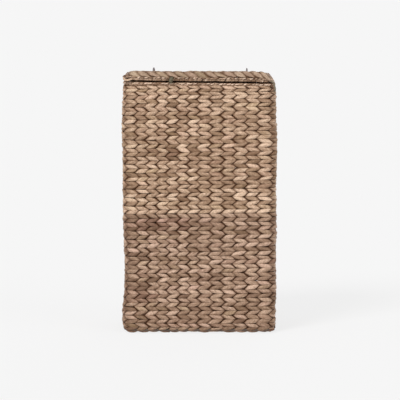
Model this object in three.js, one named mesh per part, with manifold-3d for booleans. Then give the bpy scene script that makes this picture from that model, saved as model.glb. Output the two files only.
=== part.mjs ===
// Tall woven laundry basket with a lid that folds right back on two wire rings.
// A frame of bent steel rod carries walls, base and lid twined from water hyacinth.
// Units are millimetres, +Z is up, the front faces -Y and the origin is the middle of the underside.
import * as THREE from "three";
import { mergeVertices } from "three/addons/utils/BufferGeometryUtils.js";
import Module from "manifold-3d";

const wasm = await Module();
wasm.setup();

// Plan of the basket, measured to the axis of the frame's hoops
const HOOP_WIDTH = 342;
const HOOP_DEPTH = 237;
const HOOP_CORNER_RADIUS = 20;

// Heights above the floor
const SEAM_HEIGHT = 277;
const RIM_HOOP_HEIGHT = 580.4;

// Steel rod and wire
const HOOP_ROD_RADIUS = 2.5;
const POST_RADIUS = 3;
const RING_WIRE_RADIUS = 1.5;
const RING_SPACING = 228;
const BAR_SPACING = 131.5;

// Weave: a stitch spans one stake, and two rows of opposite slant make a chevron
const STITCH_LENGTH = 26.3;
const ROW_HEIGHT = 9.6;
const STITCH_SLANT = 7;
const STITCH_RELIEF = 2;
const WALL_OUTSIDE = 5.8;
const WALL_INSIDE = 5.5;
const WALL_BULGE = 2;

// Bottom border and base mat: weave below and above the base's rods
const BASE_WEAVE_BELOW = 4.5;
const BASE_WEAVE_ABOVE = 2.5;
const BORDER_HEIGHT = 21;
const BORDER_TUCK = 4;
const BORDER_ROUNDING = 16;

// Lid: weave below and above its rods, and the air under its binding
const LID_WEAVE_BELOW = 1.7;
const LID_WEAVE_ABOVE = 0.9;
const LID_GAP = 5.2;

// Strand wrapped round the hoops of rim and lid
const RIM_WRAP = 1.1;
const LID_WRAP = 1.7;

// Fits
const SEAT_GAP = 0.3;
const RING_SLACK = 5.8;
const RING_PLAY = 0.8;
const RING_SWING_DEGREES = 88;

// Facets
const CORNER_STEPS = 2;
const ROD_SIDES = 6;
const STRAIGHT_ROD_SIDES = 8;
const BINDING_STEPS = 6;
const BORE_STEPS = 4;
const BORDER_STEPS = 4;
const RING_STEPS = 20;
const SWING_STEP_DEGREES = 4;
const MERGE_DISTANCE = 1e-4;

// What follows from them
const roomFor = (radius) => radius + SEAT_GAP;
const BASE_HOOP_HEIGHT = BASE_WEAVE_BELOW + HOOP_ROD_RADIUS;
const BASE_THICKNESS = BASE_HOOP_HEIGHT + HOOP_ROD_RADIUS + BASE_WEAVE_ABOVE;
const RIM_BINDING_RADIUS = roomFor(HOOP_ROD_RADIUS) + RIM_WRAP;
const LID_BINDING_RADIUS = roomFor(HOOP_ROD_RADIUS) + LID_WRAP;
const LID_HOOP_LIFT = RIM_BINDING_RADIUS + LID_GAP + LID_BINDING_RADIUS;
const LID_HOOP_HEIGHT = RIM_HOOP_HEIGHT + LID_HOOP_LIFT;
const LID_BELOW = HOOP_ROD_RADIUS + LID_WEAVE_BELOW;
const LID_ABOVE = HOOP_ROD_RADIUS + LID_WEAVE_ABOVE;
const RING_RADIUS = LID_HOOP_LIFT / 2 + LID_BINDING_RADIUS + RING_SLACK + RING_WIRE_RADIUS;

const HYACINTH = new THREE.MeshStandardMaterial({ color: 0xa88b6f, roughness: 0.75, metalness: 0 });
const SHADED_HYACINTH = new THREE.MeshStandardMaterial({ color: 0x977a60, roughness: 0.78, metalness: 0 });
const BINDING_STRAND = new THREE.MeshStandardMaterial({ color: 0xb59a7e, roughness: 0.7, metalness: 0 });
const FRAME_STEEL = new THREE.MeshStandardMaterial({ color: 0x6b6661, roughness: 0.5, metalness: 0.8 });
const RING_STEEL = new THREE.MeshStandardMaterial({ color: 0x7a7376, roughness: 0.35, metalness: 1 });

const basket = new THREE.Group();

// Joins and cuts

function toSolid(geometry) {
  const bare = geometry.index ? geometry.toNonIndexed() : geometry.clone();
  const positions = new THREE.BufferGeometry().setAttribute("position", bare.getAttribute("position"));
  const merged = mergeVertices(positions, MERGE_DISTANCE);
  const mesh = new wasm.Mesh({
    numProp: 3,
    vertProperties: new Float32Array(merged.attributes.position.array),
    triVerts: new Uint32Array(merged.index.array),
  });
  return new wasm.Manifold(mesh);
}

function toGeometry(solid) {
  const mesh = solid.getMesh();
  const geometry = new THREE.BufferGeometry();
  geometry.setAttribute("position", new THREE.BufferAttribute(new Float32Array(mesh.vertProperties), 3));
  geometry.setIndex(new THREE.BufferAttribute(new Uint32Array(mesh.triVerts), 1));
  const flat = geometry.toNonIndexed();
  flat.computeVertexNormals();
  return flat;
}

function cut(geometry, tools) {
  let solid = toSolid(geometry);
  for (const tool of tools) solid = solid.subtract(toSolid(tool));
  return toGeometry(solid);
}

function add(name, geometry, material) {
  const mesh = new THREE.Mesh(geometry, material);
  mesh.name = name;
  basket.add(mesh);
  return mesh;
}

// A closed mesh from a list of points and triangles of point numbers.
function fromTriangles(points, triangles) {
  const positions = triangles.flatMap((triangle) => triangle.flatMap((i) => points[i].toArray()));
  const geometry = new THREE.BufferGeometry();
  geometry.setAttribute("position", new THREE.Float32BufferAttribute(positions, 3));
  geometry.computeVertexNormals();
  return geometry;
}

// Plan of one side, seen from outside, from the middle of its left corner, where its post stands, to the right

const SIDES = {
  front: { half: HOOP_WIDTH / 2, out: HOOP_DEPTH / 2, turn: 0, post: "post_front_left" },
  right: { half: HOOP_DEPTH / 2, out: HOOP_WIDTH / 2, turn: Math.PI / 2, post: "post_front_right" },
  back: { half: HOOP_WIDTH / 2, out: HOOP_DEPTH / 2, turn: Math.PI, post: "post_back_right" },
  left: { half: HOOP_DEPTH / 2, out: HOOP_WIDTH / 2, turn: -Math.PI / 2, post: "post_back_left" },
};
const HALF_CORNER = (HOOP_CORNER_RADIUS * Math.PI) / 4;

const sideLength = (side) => 2 * (side.half - HOOP_CORNER_RADIUS + HALF_CORNER);

// The point at a distance along a side, moved outward and up, and shifted along the side by `inset`.
function onSide(side, along, outward, height, inset = 0) {
  const length = sideLength(side);
  const straight = side.half - HOOP_CORNER_RADIUS;
  let angle = 0;
  let x = along - length / 2;
  if (along < HALF_CORNER) angle = -Math.PI / 4 + along / HOOP_CORNER_RADIUS;
  if (along > length - HALF_CORNER) angle = Math.PI / 4 - (length - along) / HOOP_CORNER_RADIUS;
  if (angle < 0) x = -straight;
  if (angle > 0) x = straight;
  const reach = HOOP_CORNER_RADIUS + outward;
  const point = new THREE.Vector3(
    x + reach * Math.sin(angle) + inset * Math.cos(angle),
    -(side.out - HOOP_CORNER_RADIUS + reach * Math.cos(angle)) + inset * Math.sin(angle),
    height,
  );
  return point.applyAxisAngle(new THREE.Vector3(0, 0, 1), side.turn);
}

// Distances along a side at which its plan bends.
function bends(side) {
  const length = sideLength(side);
  const steps = Array.from({ length: CORNER_STEPS + 1 }, (_, i) => (HALF_CORNER * i) / CORNER_STEPS);
  return [...steps, ...steps.map((step) => length - step).reverse()];
}

// A straight or bent bar: a section of [outward, height] points swept along one side.
function sweepSide(side, section) {
  const stations = bends(side);
  const last = stations.length - 1;
  const size = section.length;
  const points = stations.flatMap((along, i) => {
    const inset = i === 0 ? SEAT_GAP / 2 : i === last ? -SEAT_GAP / 2 : 0;
    return section.map(([outward, height]) => onSide(side, along, outward, height, inset));
  });
  const triangles = [];
  for (let i = 0; i < last; i++) {
    for (let j = 0; j < size; j++) {
      const a = i * size + j;
      const b = i * size + ((j + 1) % size);
      triangles.push([a, a + size, b], [b, a + size, b + size]);
    }
  }
  const contour = section.map(([outward, height]) => new THREE.Vector2(outward, height));
  for (const [a, b, c] of THREE.ShapeUtils.triangulateShape(contour, [])) {
    const end = last * size;
    triangles.push([a, b, c], [end + a, end + c, end + b]);
  }
  return fromTriangles(points, triangles);
}

// A rod bent into a closed hoop with the basket's plan.
function hoop(radius, height) {
  const points = [];
  for (const side of Object.values(SIDES)) {
    for (const along of bends(side).slice(1)) {
      for (let k = 0; k < ROD_SIDES; k++) {
        const angle = (2 * Math.PI * k) / ROD_SIDES;
        points.push(onSide(side, along, radius * Math.cos(angle), height + radius * Math.sin(angle)));
      }
    }
  }
  const rings = points.length / ROD_SIDES;
  const triangles = [];
  for (let i = 0; i < rings; i++) {
    for (let k = 0; k < ROD_SIDES; k++) {
      const next = (i + 1) % rings;
      const a = i * ROD_SIDES + k;
      const b = i * ROD_SIDES + ((k + 1) % ROD_SIDES);
      const c = next * ROD_SIDES + k;
      const d = next * ROD_SIDES + ((k + 1) % ROD_SIDES);
      triangles.push([a, c, b], [b, c, d]);
    }
  }
  return fromTriangles(points, triangles);
}

// A straight rod that stands up or, when `flat`, runs from front to back.
function rod(radius, length, centre, flat = false) {
  const geometry = new THREE.CylinderGeometry(radius, radius, length, STRAIGHT_ROD_SIDES);
  if (!flat) geometry.rotateX(Math.PI / 2);
  return geometry.translate(...centre);
}

// Frame

const POST_INSET = HOOP_ROD_RADIUS + SEAT_GAP + POST_RADIUS;
const POST_TOP = LID_HOOP_HEIGHT - LID_BELOW - SEAT_GAP;
const POST_BOTTOM = BASE_HOOP_HEIGHT - HOOP_ROD_RADIUS;

function post(side, radius, bottom, top) {
  const middle = onSide(side, 0, -POST_INSET, (bottom + top) / 2);
  return rod(radius, top - bottom, middle.toArray());
}

const postRoom = Object.values(SIDES).map((side) =>
  post(side, roomFor(POST_RADIUS), POST_BOTTOM - SEAT_GAP, POST_TOP + SEAT_GAP),
);

const barLength = HOOP_DEPTH - 2 * (HOOP_ROD_RADIUS + SEAT_GAP);
const barPlaces = [-BAR_SPACING / 2, BAR_SPACING / 2];
const bar = (x, height, radius, length = barLength) => rod(radius, length, [x, 0, height], true);
const barRoom = (height) => barPlaces.map((x) => bar(x, height, roomFor(HOOP_ROD_RADIUS), HOOP_DEPTH));

add("base_hoop", hoop(HOOP_ROD_RADIUS, BASE_HOOP_HEIGHT), FRAME_STEEL);
add("seam_hoop", hoop(HOOP_ROD_RADIUS, SEAM_HEIGHT), FRAME_STEEL);
add("rim_hoop", hoop(HOOP_ROD_RADIUS, RIM_HOOP_HEIGHT), FRAME_STEEL);
for (const side of Object.values(SIDES)) {
  add(side.post, post(side, POST_RADIUS, POST_BOTTOM, POST_TOP), FRAME_STEEL);
}
add("base_bar_left", bar(barPlaces[0], BASE_HOOP_HEIGHT, HOOP_ROD_RADIUS), FRAME_STEEL);
add("base_bar_right", bar(barPlaces[1], BASE_HOOP_HEIGHT, HOOP_ROD_RADIUS), FRAME_STEEL);

// Wire rings that carry the lid: each goes round the rim hoop and the lid hoop

const RING_CENTRE = RIM_HOOP_HEIGHT + LID_HOOP_LIFT / 2;
const ringPlaces = [-RING_SPACING / 2, RING_SPACING / 2];

function ring(x) {
  const geometry = new THREE.TorusGeometry(RING_RADIUS, RING_WIRE_RADIUS, ROD_SIDES, RING_STEPS);
  return geometry.rotateY(Math.PI / 2).translate(x, HOOP_DEPTH / 2, RING_CENTRE);
}

add("hinge_ring_left", ring(ringPlaces[0]), RING_STEEL);
add("hinge_ring_right", ring(ringPlaces[1]), RING_STEEL);

// How far from its rod's axis the ring crosses a woven panel, over a whole swing, with room for the wire.
// The ring's centre stays half the lift from the rod. It starts `square` to the panel on the lid and in line
// with it on the wall, and `depths` are the panel's faces.
function ringCrossing(depths, square, lastSwing) {
  const offset = LID_HOOP_LIFT / 2;
  const crossings = [];
  for (let degrees = 0; degrees <= lastSwing; degrees += SWING_STEP_DEGREES) {
    const swing = THREE.MathUtils.degToRad(degrees);
    const [through, along] = square
      ? [-Math.cos(swing), Math.sin(swing)]
      : [Math.sin(swing), Math.cos(swing)];
    for (const depth of depths) {
      crossings.push(Math.sqrt(RING_RADIUS ** 2 - (depth - offset * through) ** 2) - offset * along);
    }
  }
  const room = RING_WIRE_RADIUS + RING_PLAY;
  return [Math.min(...crossings) - room, Math.max(...crossings) + room];
}

const slotWidth = 2 * (RING_WIRE_RADIUS + RING_PLAY);

// Twined walls

// The bottom border rolls in under the basket along a quarter of an ellipse.
function tuckedIn(height) {
  if (height >= BORDER_ROUNDING) return 0;
  const rise = 1 - height / BORDER_ROUNDING;
  return (WALL_OUTSIDE + BORDER_TUCK) * (1 - Math.sqrt(1 - rise * rise));
}

// How far the wall's outer face stands outside the hoop's axis.
function wallFace(side, along, height) {
  const across = Math.sin((Math.PI * along) / sideLength(side));
  const up = Math.sin((Math.PI * height) / RIM_HOOP_HEIGHT);
  return WALL_OUTSIDE - tuckedIn(height) + WALL_BULGE * Math.max(0, across) * Math.max(0, up);
}

// A woven face, `length` along by `height` up. Two rows of stitches that slant opposite ways make a chevron
// over each stake, raised in its middle. `place` puts a point from its distance along, its height, how far
// it stands out and the end it is on, -1, 0 or 1.
function weave(length, height, place) {
  const stakes = Math.round(length / STITCH_LENGTH);
  const chevrons = Math.round(height / (2 * ROW_HEIGHT));
  const pitch = length / stakes;
  const step = height / chevrons;
  const between = (up, shift) =>
    Array.from({ length: stakes }, (_, k) => place((k + 0.5) * pitch + shift, up, 0, 0));
  const valley = (up) => [place(0, up, 0, -1), ...between(up, -STITCH_SLANT / 2), place(length, up, 0, 1)];

  const triangles = [];
  const first = valley(0);
  const left = [first[0]];
  const right = [first.at(-1)];
  let low = first;
  for (let i = 0; i < chevrons; i++) {
    const middle = (i + 0.5) * step;
    const elbows = between(middle, STITCH_SLANT / 2);
    const high = valley((i + 1) * step);
    for (let k = 0; k <= stakes; k++) {
      const end = k === 0 ? -1 : k === stakes ? 1 : 0;
      const apex = place(k * pitch, middle, STITCH_RELIEF, end);
      triangles.push([low[k], low[k + 1], apex], [high[k + 1], high[k], apex]);
      if (end < 1) triangles.push([low[k + 1], elbows[k], apex], [elbows[k], high[k + 1], apex]);
      if (end > -1) triangles.push([high[k], elbows[k - 1], apex], [elbows[k - 1], low[k], apex]);
      if (end < 0) left.push(apex, high[0]);
      if (end > 0) right.push(apex, high.at(-1));
    }
    low = high;
  }
  return { triangles, bottom: first, top: low, left, right };
}

// A slab with a woven face and a plain back. `outside` and `inside` place points, `stations` are where the
// back bends, and `fromTop` and `fromEnd` flatten the slab's narrow faces.
function twinedSlab({ length, height, stations, outside, inside, fromTop, fromEnd }) {
  const points = [];
  const keep = (point) => points.push(point) - 1;
  const face = weave(length, height, (...where) => keep(outside(...where)));
  const back = [0, height].map((up) =>
    stations.map((along) => keep(inside(along, up, along === 0 ? -1 : along === length ? 1 : 0))),
  );
  const triangles = [...face.triangles];
  for (let i = 0; i + 1 < stations.length; i++) {
    triangles.push([back[0][i], back[1][i], back[0][i + 1]], [back[0][i + 1], back[1][i], back[1][i + 1]]);
  }
  const close = (contour, flatten, flip) => {
    const outline = contour.map((i) => flatten(points[i]));
    for (const [a, b, c] of THREE.ShapeUtils.triangulateShape(outline, [])) {
      triangles.push(flip ? [contour[c], contour[b], contour[a]] : [contour[a], contour[b], contour[c]]);
    }
  };
  close([...face.bottom, ...back[0].toReversed()], fromTop, true);
  close([...face.top, ...back[1].toReversed()], fromTop, false);
  close([back[0][0], ...face.left, back[1][0]], fromEnd, false);
  close([back[0].at(-1), ...face.right, back[1].at(-1)], fromEnd, true);
  return fromTriangles(points, triangles);
}

function wallPanel(side, bottom, top) {
  const inset = (end) => (-end * SEAT_GAP) / 2;
  return twinedSlab({
    length: sideLength(side),
    height: top - bottom,
    stations: bends(side),
    outside: (along, up, relief, end) =>
      onSide(side, along, wallFace(side, along, bottom + up) + relief, bottom + up, inset(end)),
    inside: (along, up, end) => onSide(side, along, -WALL_INSIDE, bottom + up, inset(end)),
    fromTop: (point) => new THREE.Vector2(point.x, point.y),
    fromEnd: (point) => new THREE.Vector2(Math.hypot(point.x, point.y), point.z),
  });
}

const lowerBottom = BORDER_HEIGHT + SEAT_GAP;
const rimLip = Math.sqrt(RIM_BINDING_RADIUS ** 2 - roomFor(HOOP_ROD_RADIUS) ** 2);
const wallTop = RIM_HOOP_HEIGHT - rimLip - SEAT_GAP;
const seamRoom = hoop(roomFor(HOOP_ROD_RADIUS), SEAM_HEIGHT);

const wallDepths = [-WALL_INSIDE, 0, WALL_OUTSIDE + STITCH_RELIEF];
const [slotTop, slotBottom] = ringCrossing(wallDepths, false, RING_SWING_DEGREES);
const wallSlots = ringPlaces.map((x) => {
  const depth = 2 * (WALL_INSIDE + WALL_OUTSIDE + STITCH_RELIEF + WALL_BULGE);
  const slot = new THREE.BoxGeometry(slotWidth, depth, slotBottom - slotTop);
  return slot.translate(x, HOOP_DEPTH / 2, RIM_HOOP_HEIGHT - (slotTop + slotBottom) / 2);
});

for (const [key, side] of Object.entries(SIDES)) {
  const lower = wallPanel(side, lowerBottom, SEAM_HEIGHT - SEAT_GAP / 2);
  const upper = wallPanel(side, SEAM_HEIGHT + SEAT_GAP / 2, wallTop);
  add(`wall_${key}_lower`, cut(lower, [seamRoom, ...postRoom]), SHADED_HYACINTH);
  add(`wall_${key}_upper`, cut(upper, [seamRoom, ...postRoom, ...(key === "back" ? wallSlots : [])]), HYACINTH);
}

// Bottom border: the stakes turned in round the base hoop

const borderSection = [[-WALL_INSIDE, 0]];
for (let i = 0; i <= BORDER_STEPS; i++) {
  const height = (BORDER_HEIGHT * i) / BORDER_STEPS;
  borderSection.push([WALL_OUTSIDE - tuckedIn(height), height]);
}
borderSection.push([-WALL_INSIDE, BORDER_HEIGHT]);
const baseRoom = [hoop(roomFor(HOOP_ROD_RADIUS), BASE_HOOP_HEIGHT), ...barRoom(BASE_HOOP_HEIGHT), ...postRoom];
for (const [key, side] of Object.entries(SIDES)) {
  add(`border_${key}`, cut(sweepSide(side, borderSection), baseRoom), SHADED_HYACINTH);
}

// Base mat, lying inside the border

function roundedPlate(inset, bottom, top) {
  const halfWidth = HOOP_WIDTH / 2 - inset;
  const halfDepth = HOOP_DEPTH / 2 - inset;
  const radius = HOOP_CORNER_RADIUS - inset;
  const outline = new THREE.Shape();
  outline.moveTo(-halfWidth + radius, -halfDepth);
  outline.absarc(halfWidth - radius, -halfDepth + radius, radius, -Math.PI / 2, 0);
  outline.absarc(halfWidth - radius, halfDepth - radius, radius, 0, Math.PI / 2);
  outline.absarc(-halfWidth + radius, halfDepth - radius, radius, Math.PI / 2, Math.PI);
  outline.absarc(-halfWidth + radius, -halfDepth + radius, radius, Math.PI, 1.5 * Math.PI);
  const settings = { depth: top - bottom, bevelEnabled: false, curveSegments: 2 * CORNER_STEPS };
  return new THREE.ExtrudeGeometry(outline, settings).translate(0, 0, bottom);
}

const baseMat = roundedPlate(WALL_INSIDE + SEAT_GAP, 0, BASE_THICKNESS);
add("base_mat", cut(baseMat, [...barRoom(BASE_HOOP_HEIGHT), ...postRoom]), SHADED_HYACINTH);

// Bindings: thin strand wrapped round a hoop, open where the weave goes in

// Section of a binding: most of a circle, with a mouth as wide as its bore. `facing` is the mouth's direction.
function bindingSection(radius, height, facing) {
  const bore = roomFor(HOOP_ROD_RADIUS);
  const mouth = Math.asin(bore / radius);
  const arc = (r, from, to, steps) =>
    Array.from({ length: steps + 1 }, (_, i) => {
      const angle = facing + from + ((to - from) * i) / steps;
      return [r * Math.cos(angle), height + r * Math.sin(angle)];
    });
  const outside = arc(radius, mouth, 2 * Math.PI - mouth, BINDING_STEPS);
  const inside = arc(bore, 1.5 * Math.PI, 0.5 * Math.PI, BORE_STEPS);
  return [...outside, ...inside];
}

const DOWN = -Math.PI / 2;
const INWARD = Math.PI;
for (const [key, side] of Object.entries(SIDES)) {
  const binding = sweepSide(side, bindingSection(RIM_BINDING_RADIUS, RIM_HOOP_HEIGHT, DOWN));
  add(`rim_binding_${key}`, cut(binding, postRoom), BINDING_STRAND);
}
for (const [key, side] of Object.entries(SIDES)) {
  const binding = sweepSide(side, bindingSection(LID_BINDING_RADIUS, LID_HOOP_HEIGHT, INWARD));
  add(`lid_binding_${key}`, binding, BINDING_STRAND);
}

// Lid

add("lid_hoop", hoop(HOOP_ROD_RADIUS, LID_HOOP_HEIGHT), FRAME_STEEL);
add("lid_brace_left", bar(barPlaces[0], LID_HOOP_HEIGHT, HOOP_ROD_RADIUS), FRAME_STEEL);
add("lid_brace_right", bar(barPlaces[1], LID_HOOP_HEIGHT, HOOP_ROD_RADIUS), FRAME_STEEL);

const lidLip = Math.sqrt(LID_BINDING_RADIUS ** 2 - roomFor(HOOP_ROD_RADIUS) ** 2);
const lidInset = lidLip + SEAT_GAP;
const lidBottom = LID_HOOP_HEIGHT - LID_BELOW;
const lidFace = LID_HOOP_HEIGHT + LID_ABOVE;

// The lid's stitches are on top and its rows run from left to right.
const fromCorner = (x, y, z) => new THREE.Vector3(x - HOOP_WIDTH / 2, y - HOOP_DEPTH / 2, z);
const lidSlab = twinedSlab({
  length: HOOP_WIDTH,
  height: HOOP_DEPTH,
  stations: [0, HOOP_WIDTH],
  outside: (x, y, relief) => fromCorner(x, y, lidFace + relief),
  inside: (x, y) => fromCorner(x, y, lidBottom),
  fromTop: (point) => new THREE.Vector2(point.x, -point.z),
  fromEnd: (point) => new THREE.Vector2(point.z, point.y),
});
const lidOutline = roundedPlate(lidInset, lidBottom - SEAT_GAP, lidFace + STITCH_RELIEF + SEAT_GAP);
const lidDepths = [-LID_BELOW, 0, LID_ABOVE + STITCH_RELIEF];
const [slotNear, slotFar] = ringCrossing(lidDepths, true, 2 * RING_SWING_DEGREES);
const lidSlots = ringPlaces.map((x) => {
  const height = 2 * (LID_ABOVE + LID_BELOW + STITCH_RELIEF);
  const slot = new THREE.BoxGeometry(slotWidth, slotFar - slotNear, height);
  return slot.translate(x, HOOP_DEPTH / 2 - (slotNear + slotFar) / 2, LID_HOOP_HEIGHT);
});
const lidMat = toGeometry(toSolid(lidSlab).intersect(toSolid(lidOutline)));
add("lid_mat", cut(lidMat, [...barRoom(LID_HOOP_HEIGHT), ...lidSlots]), HYACINTH);

export default basket;
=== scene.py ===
"""The looks of a tall lidded laundry basket, twined from water hyacinth on a steel rod frame.

Every strand of the weave is modelled: each row of stitches is a pair of strands twisted round the basket's
stakes. Lengths are in metres, but in mm where a name or a comment says so. +Z is up and the front faces -Y.
"""

import logging
import math
from abc import ABC, abstractmethod
from dataclasses import dataclass, field
from enum import Enum

import bpy
import numpy as np
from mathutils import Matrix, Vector


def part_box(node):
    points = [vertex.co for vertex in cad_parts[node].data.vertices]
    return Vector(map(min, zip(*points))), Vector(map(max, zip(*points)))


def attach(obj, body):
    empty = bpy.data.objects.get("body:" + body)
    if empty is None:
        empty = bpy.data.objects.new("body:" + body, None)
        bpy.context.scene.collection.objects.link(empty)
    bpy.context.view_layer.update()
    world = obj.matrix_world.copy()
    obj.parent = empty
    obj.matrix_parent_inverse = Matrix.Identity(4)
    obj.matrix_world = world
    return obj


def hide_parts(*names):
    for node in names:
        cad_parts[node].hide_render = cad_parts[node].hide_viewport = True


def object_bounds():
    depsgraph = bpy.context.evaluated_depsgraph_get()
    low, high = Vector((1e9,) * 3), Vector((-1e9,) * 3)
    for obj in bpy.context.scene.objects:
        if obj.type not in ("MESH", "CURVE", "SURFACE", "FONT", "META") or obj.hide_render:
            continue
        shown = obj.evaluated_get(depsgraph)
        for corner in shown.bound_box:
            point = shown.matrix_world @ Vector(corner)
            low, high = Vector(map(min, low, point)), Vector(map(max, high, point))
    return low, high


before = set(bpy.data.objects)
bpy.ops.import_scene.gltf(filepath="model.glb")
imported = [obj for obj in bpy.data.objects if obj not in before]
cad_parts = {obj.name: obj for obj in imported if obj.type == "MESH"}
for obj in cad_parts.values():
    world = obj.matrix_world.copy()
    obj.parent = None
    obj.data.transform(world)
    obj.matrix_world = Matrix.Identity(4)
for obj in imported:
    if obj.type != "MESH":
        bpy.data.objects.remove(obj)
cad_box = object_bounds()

log = logging.getLogger("laundry_basket")

Tree = bpy.types.NodeTree
Socket = bpy.types.NodeSocket

MM = 0.001
PER_MM = 1 / MM
SEED = 20

# The photograph's view: a long lens some way off, a little above the lid
PICTURE_SIDE_PX = 400
FRONT_PX_PER_MM = 0.4336
BASKET_MIDDLE_PX = 199.75
CAMERA_SENSOR_MM = 36.0
CAMERA_DISTANCE = 6.0
CAMERA_HEIGHT = 0.848
CAMERA_SIGHT = 200.0
AIM_HEIGHT = 0.3115

BACKDROP_HEX = "#F6F6F6"

# The frame's hoops
HOOP_ROD_RADIUS = 2.5 * MM
HOOP_CORNER_RADIUS = 20 * MM


def linear(hex_colour: str) -> tuple[float, float, float, float]:
    """Turns an sRGB hex colour into the linear values that a shader takes.

    Args:
        hex_colour: The colour as "#RRGGBB".

    Returns:
        Red, green, blue and an alpha of 1.
    """
    channels = [int(hex_colour[i : i + 2], 16) / 255 for i in (1, 3, 5)]
    bright = [c / 12.92 if c <= 0.04045 else ((c + 0.055) / 1.055) ** 2.4 for c in channels]
    return (*bright, 1.0)


def add_node(tree: Tree, kind: str, settings: dict | None = None, **inputs) -> bpy.types.Node:
    """Adds a node with its settings and its inputs, which are values or the sockets that feed them.

    Args:
        tree: The node tree that gets the node.
        kind: Blender's name for the kind of node.
        settings: Properties of the node itself.
        **inputs: Input sockets by name, with spaces as underscores, or by number as _0, _1 and so on.

    Returns:
        The new node.
    """
    node = tree.nodes.new(kind)
    for name, value in (settings or {}).items():
        setattr(node, name, value)
    for name, value in inputs.items():
        key = int(name[1:]) if name[1:].isdigit() else name.replace("_", " ")
        socket = node.inputs[key]
        if isinstance(value, Socket):
            tree.links.new(value, socket)
        else:
            socket.default_value = value
    return node


def add_noise(tree: Tree, place: Socket, scale: float, detail: float, roughness: float = 0.5) -> Socket:
    """Adds a pattern of soft patches, with `scale` patches to one unit of place."""
    kind = "ShaderNodeTexNoise"
    return add_node(tree, kind, Vector=place, Scale=scale, Detail=detail, Roughness=roughness).outputs["Fac"]


def add_range(tree: Tree, value: Socket, span: tuple[float, float], end: float, start: float = 0.0) -> Socket:
    """Adds a level that goes from start to end while a value crosses a span, and holds outside it."""
    levels = {"From_Min": span[0], "From_Max": span[1], "To_Min": start, "To_Max": end}
    return add_node(tree, "ShaderNodeMapRange", Value=value, **levels).outputs["Result"]


def add_math(tree: Tree, operation: str, *values: Socket | float) -> Socket:
    """Adds what an operation, such as "ADD", makes of some values."""
    inputs = {f"_{number}": value for number, value in enumerate(values)}
    return add_node(tree, "ShaderNodeMath", {"operation": operation}, **inputs).outputs[0]


def add_mix(tree: Tree, share: Socket, under: Socket | tuple, over: tuple, blend: str = "MIX") -> Socket:
    """Adds one colour laid over another, as strongly as the share says."""
    settings = {"data_type": "RGBA", "blend_type": blend}
    return add_node(tree, "ShaderNodeMix", settings, _0=share, _6=under, _7=over).outputs[2]


def new_material(name: str) -> tuple[bpy.types.Material, Tree]:
    """Makes an empty node material.

    Args:
        name: The material's name.

    Returns:
        The material and its node tree.
    """
    material = bpy.data.materials.new(name)
    material.use_nodes = True
    material.node_tree.nodes.clear()
    return material, material.node_tree


# Finishes


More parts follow.
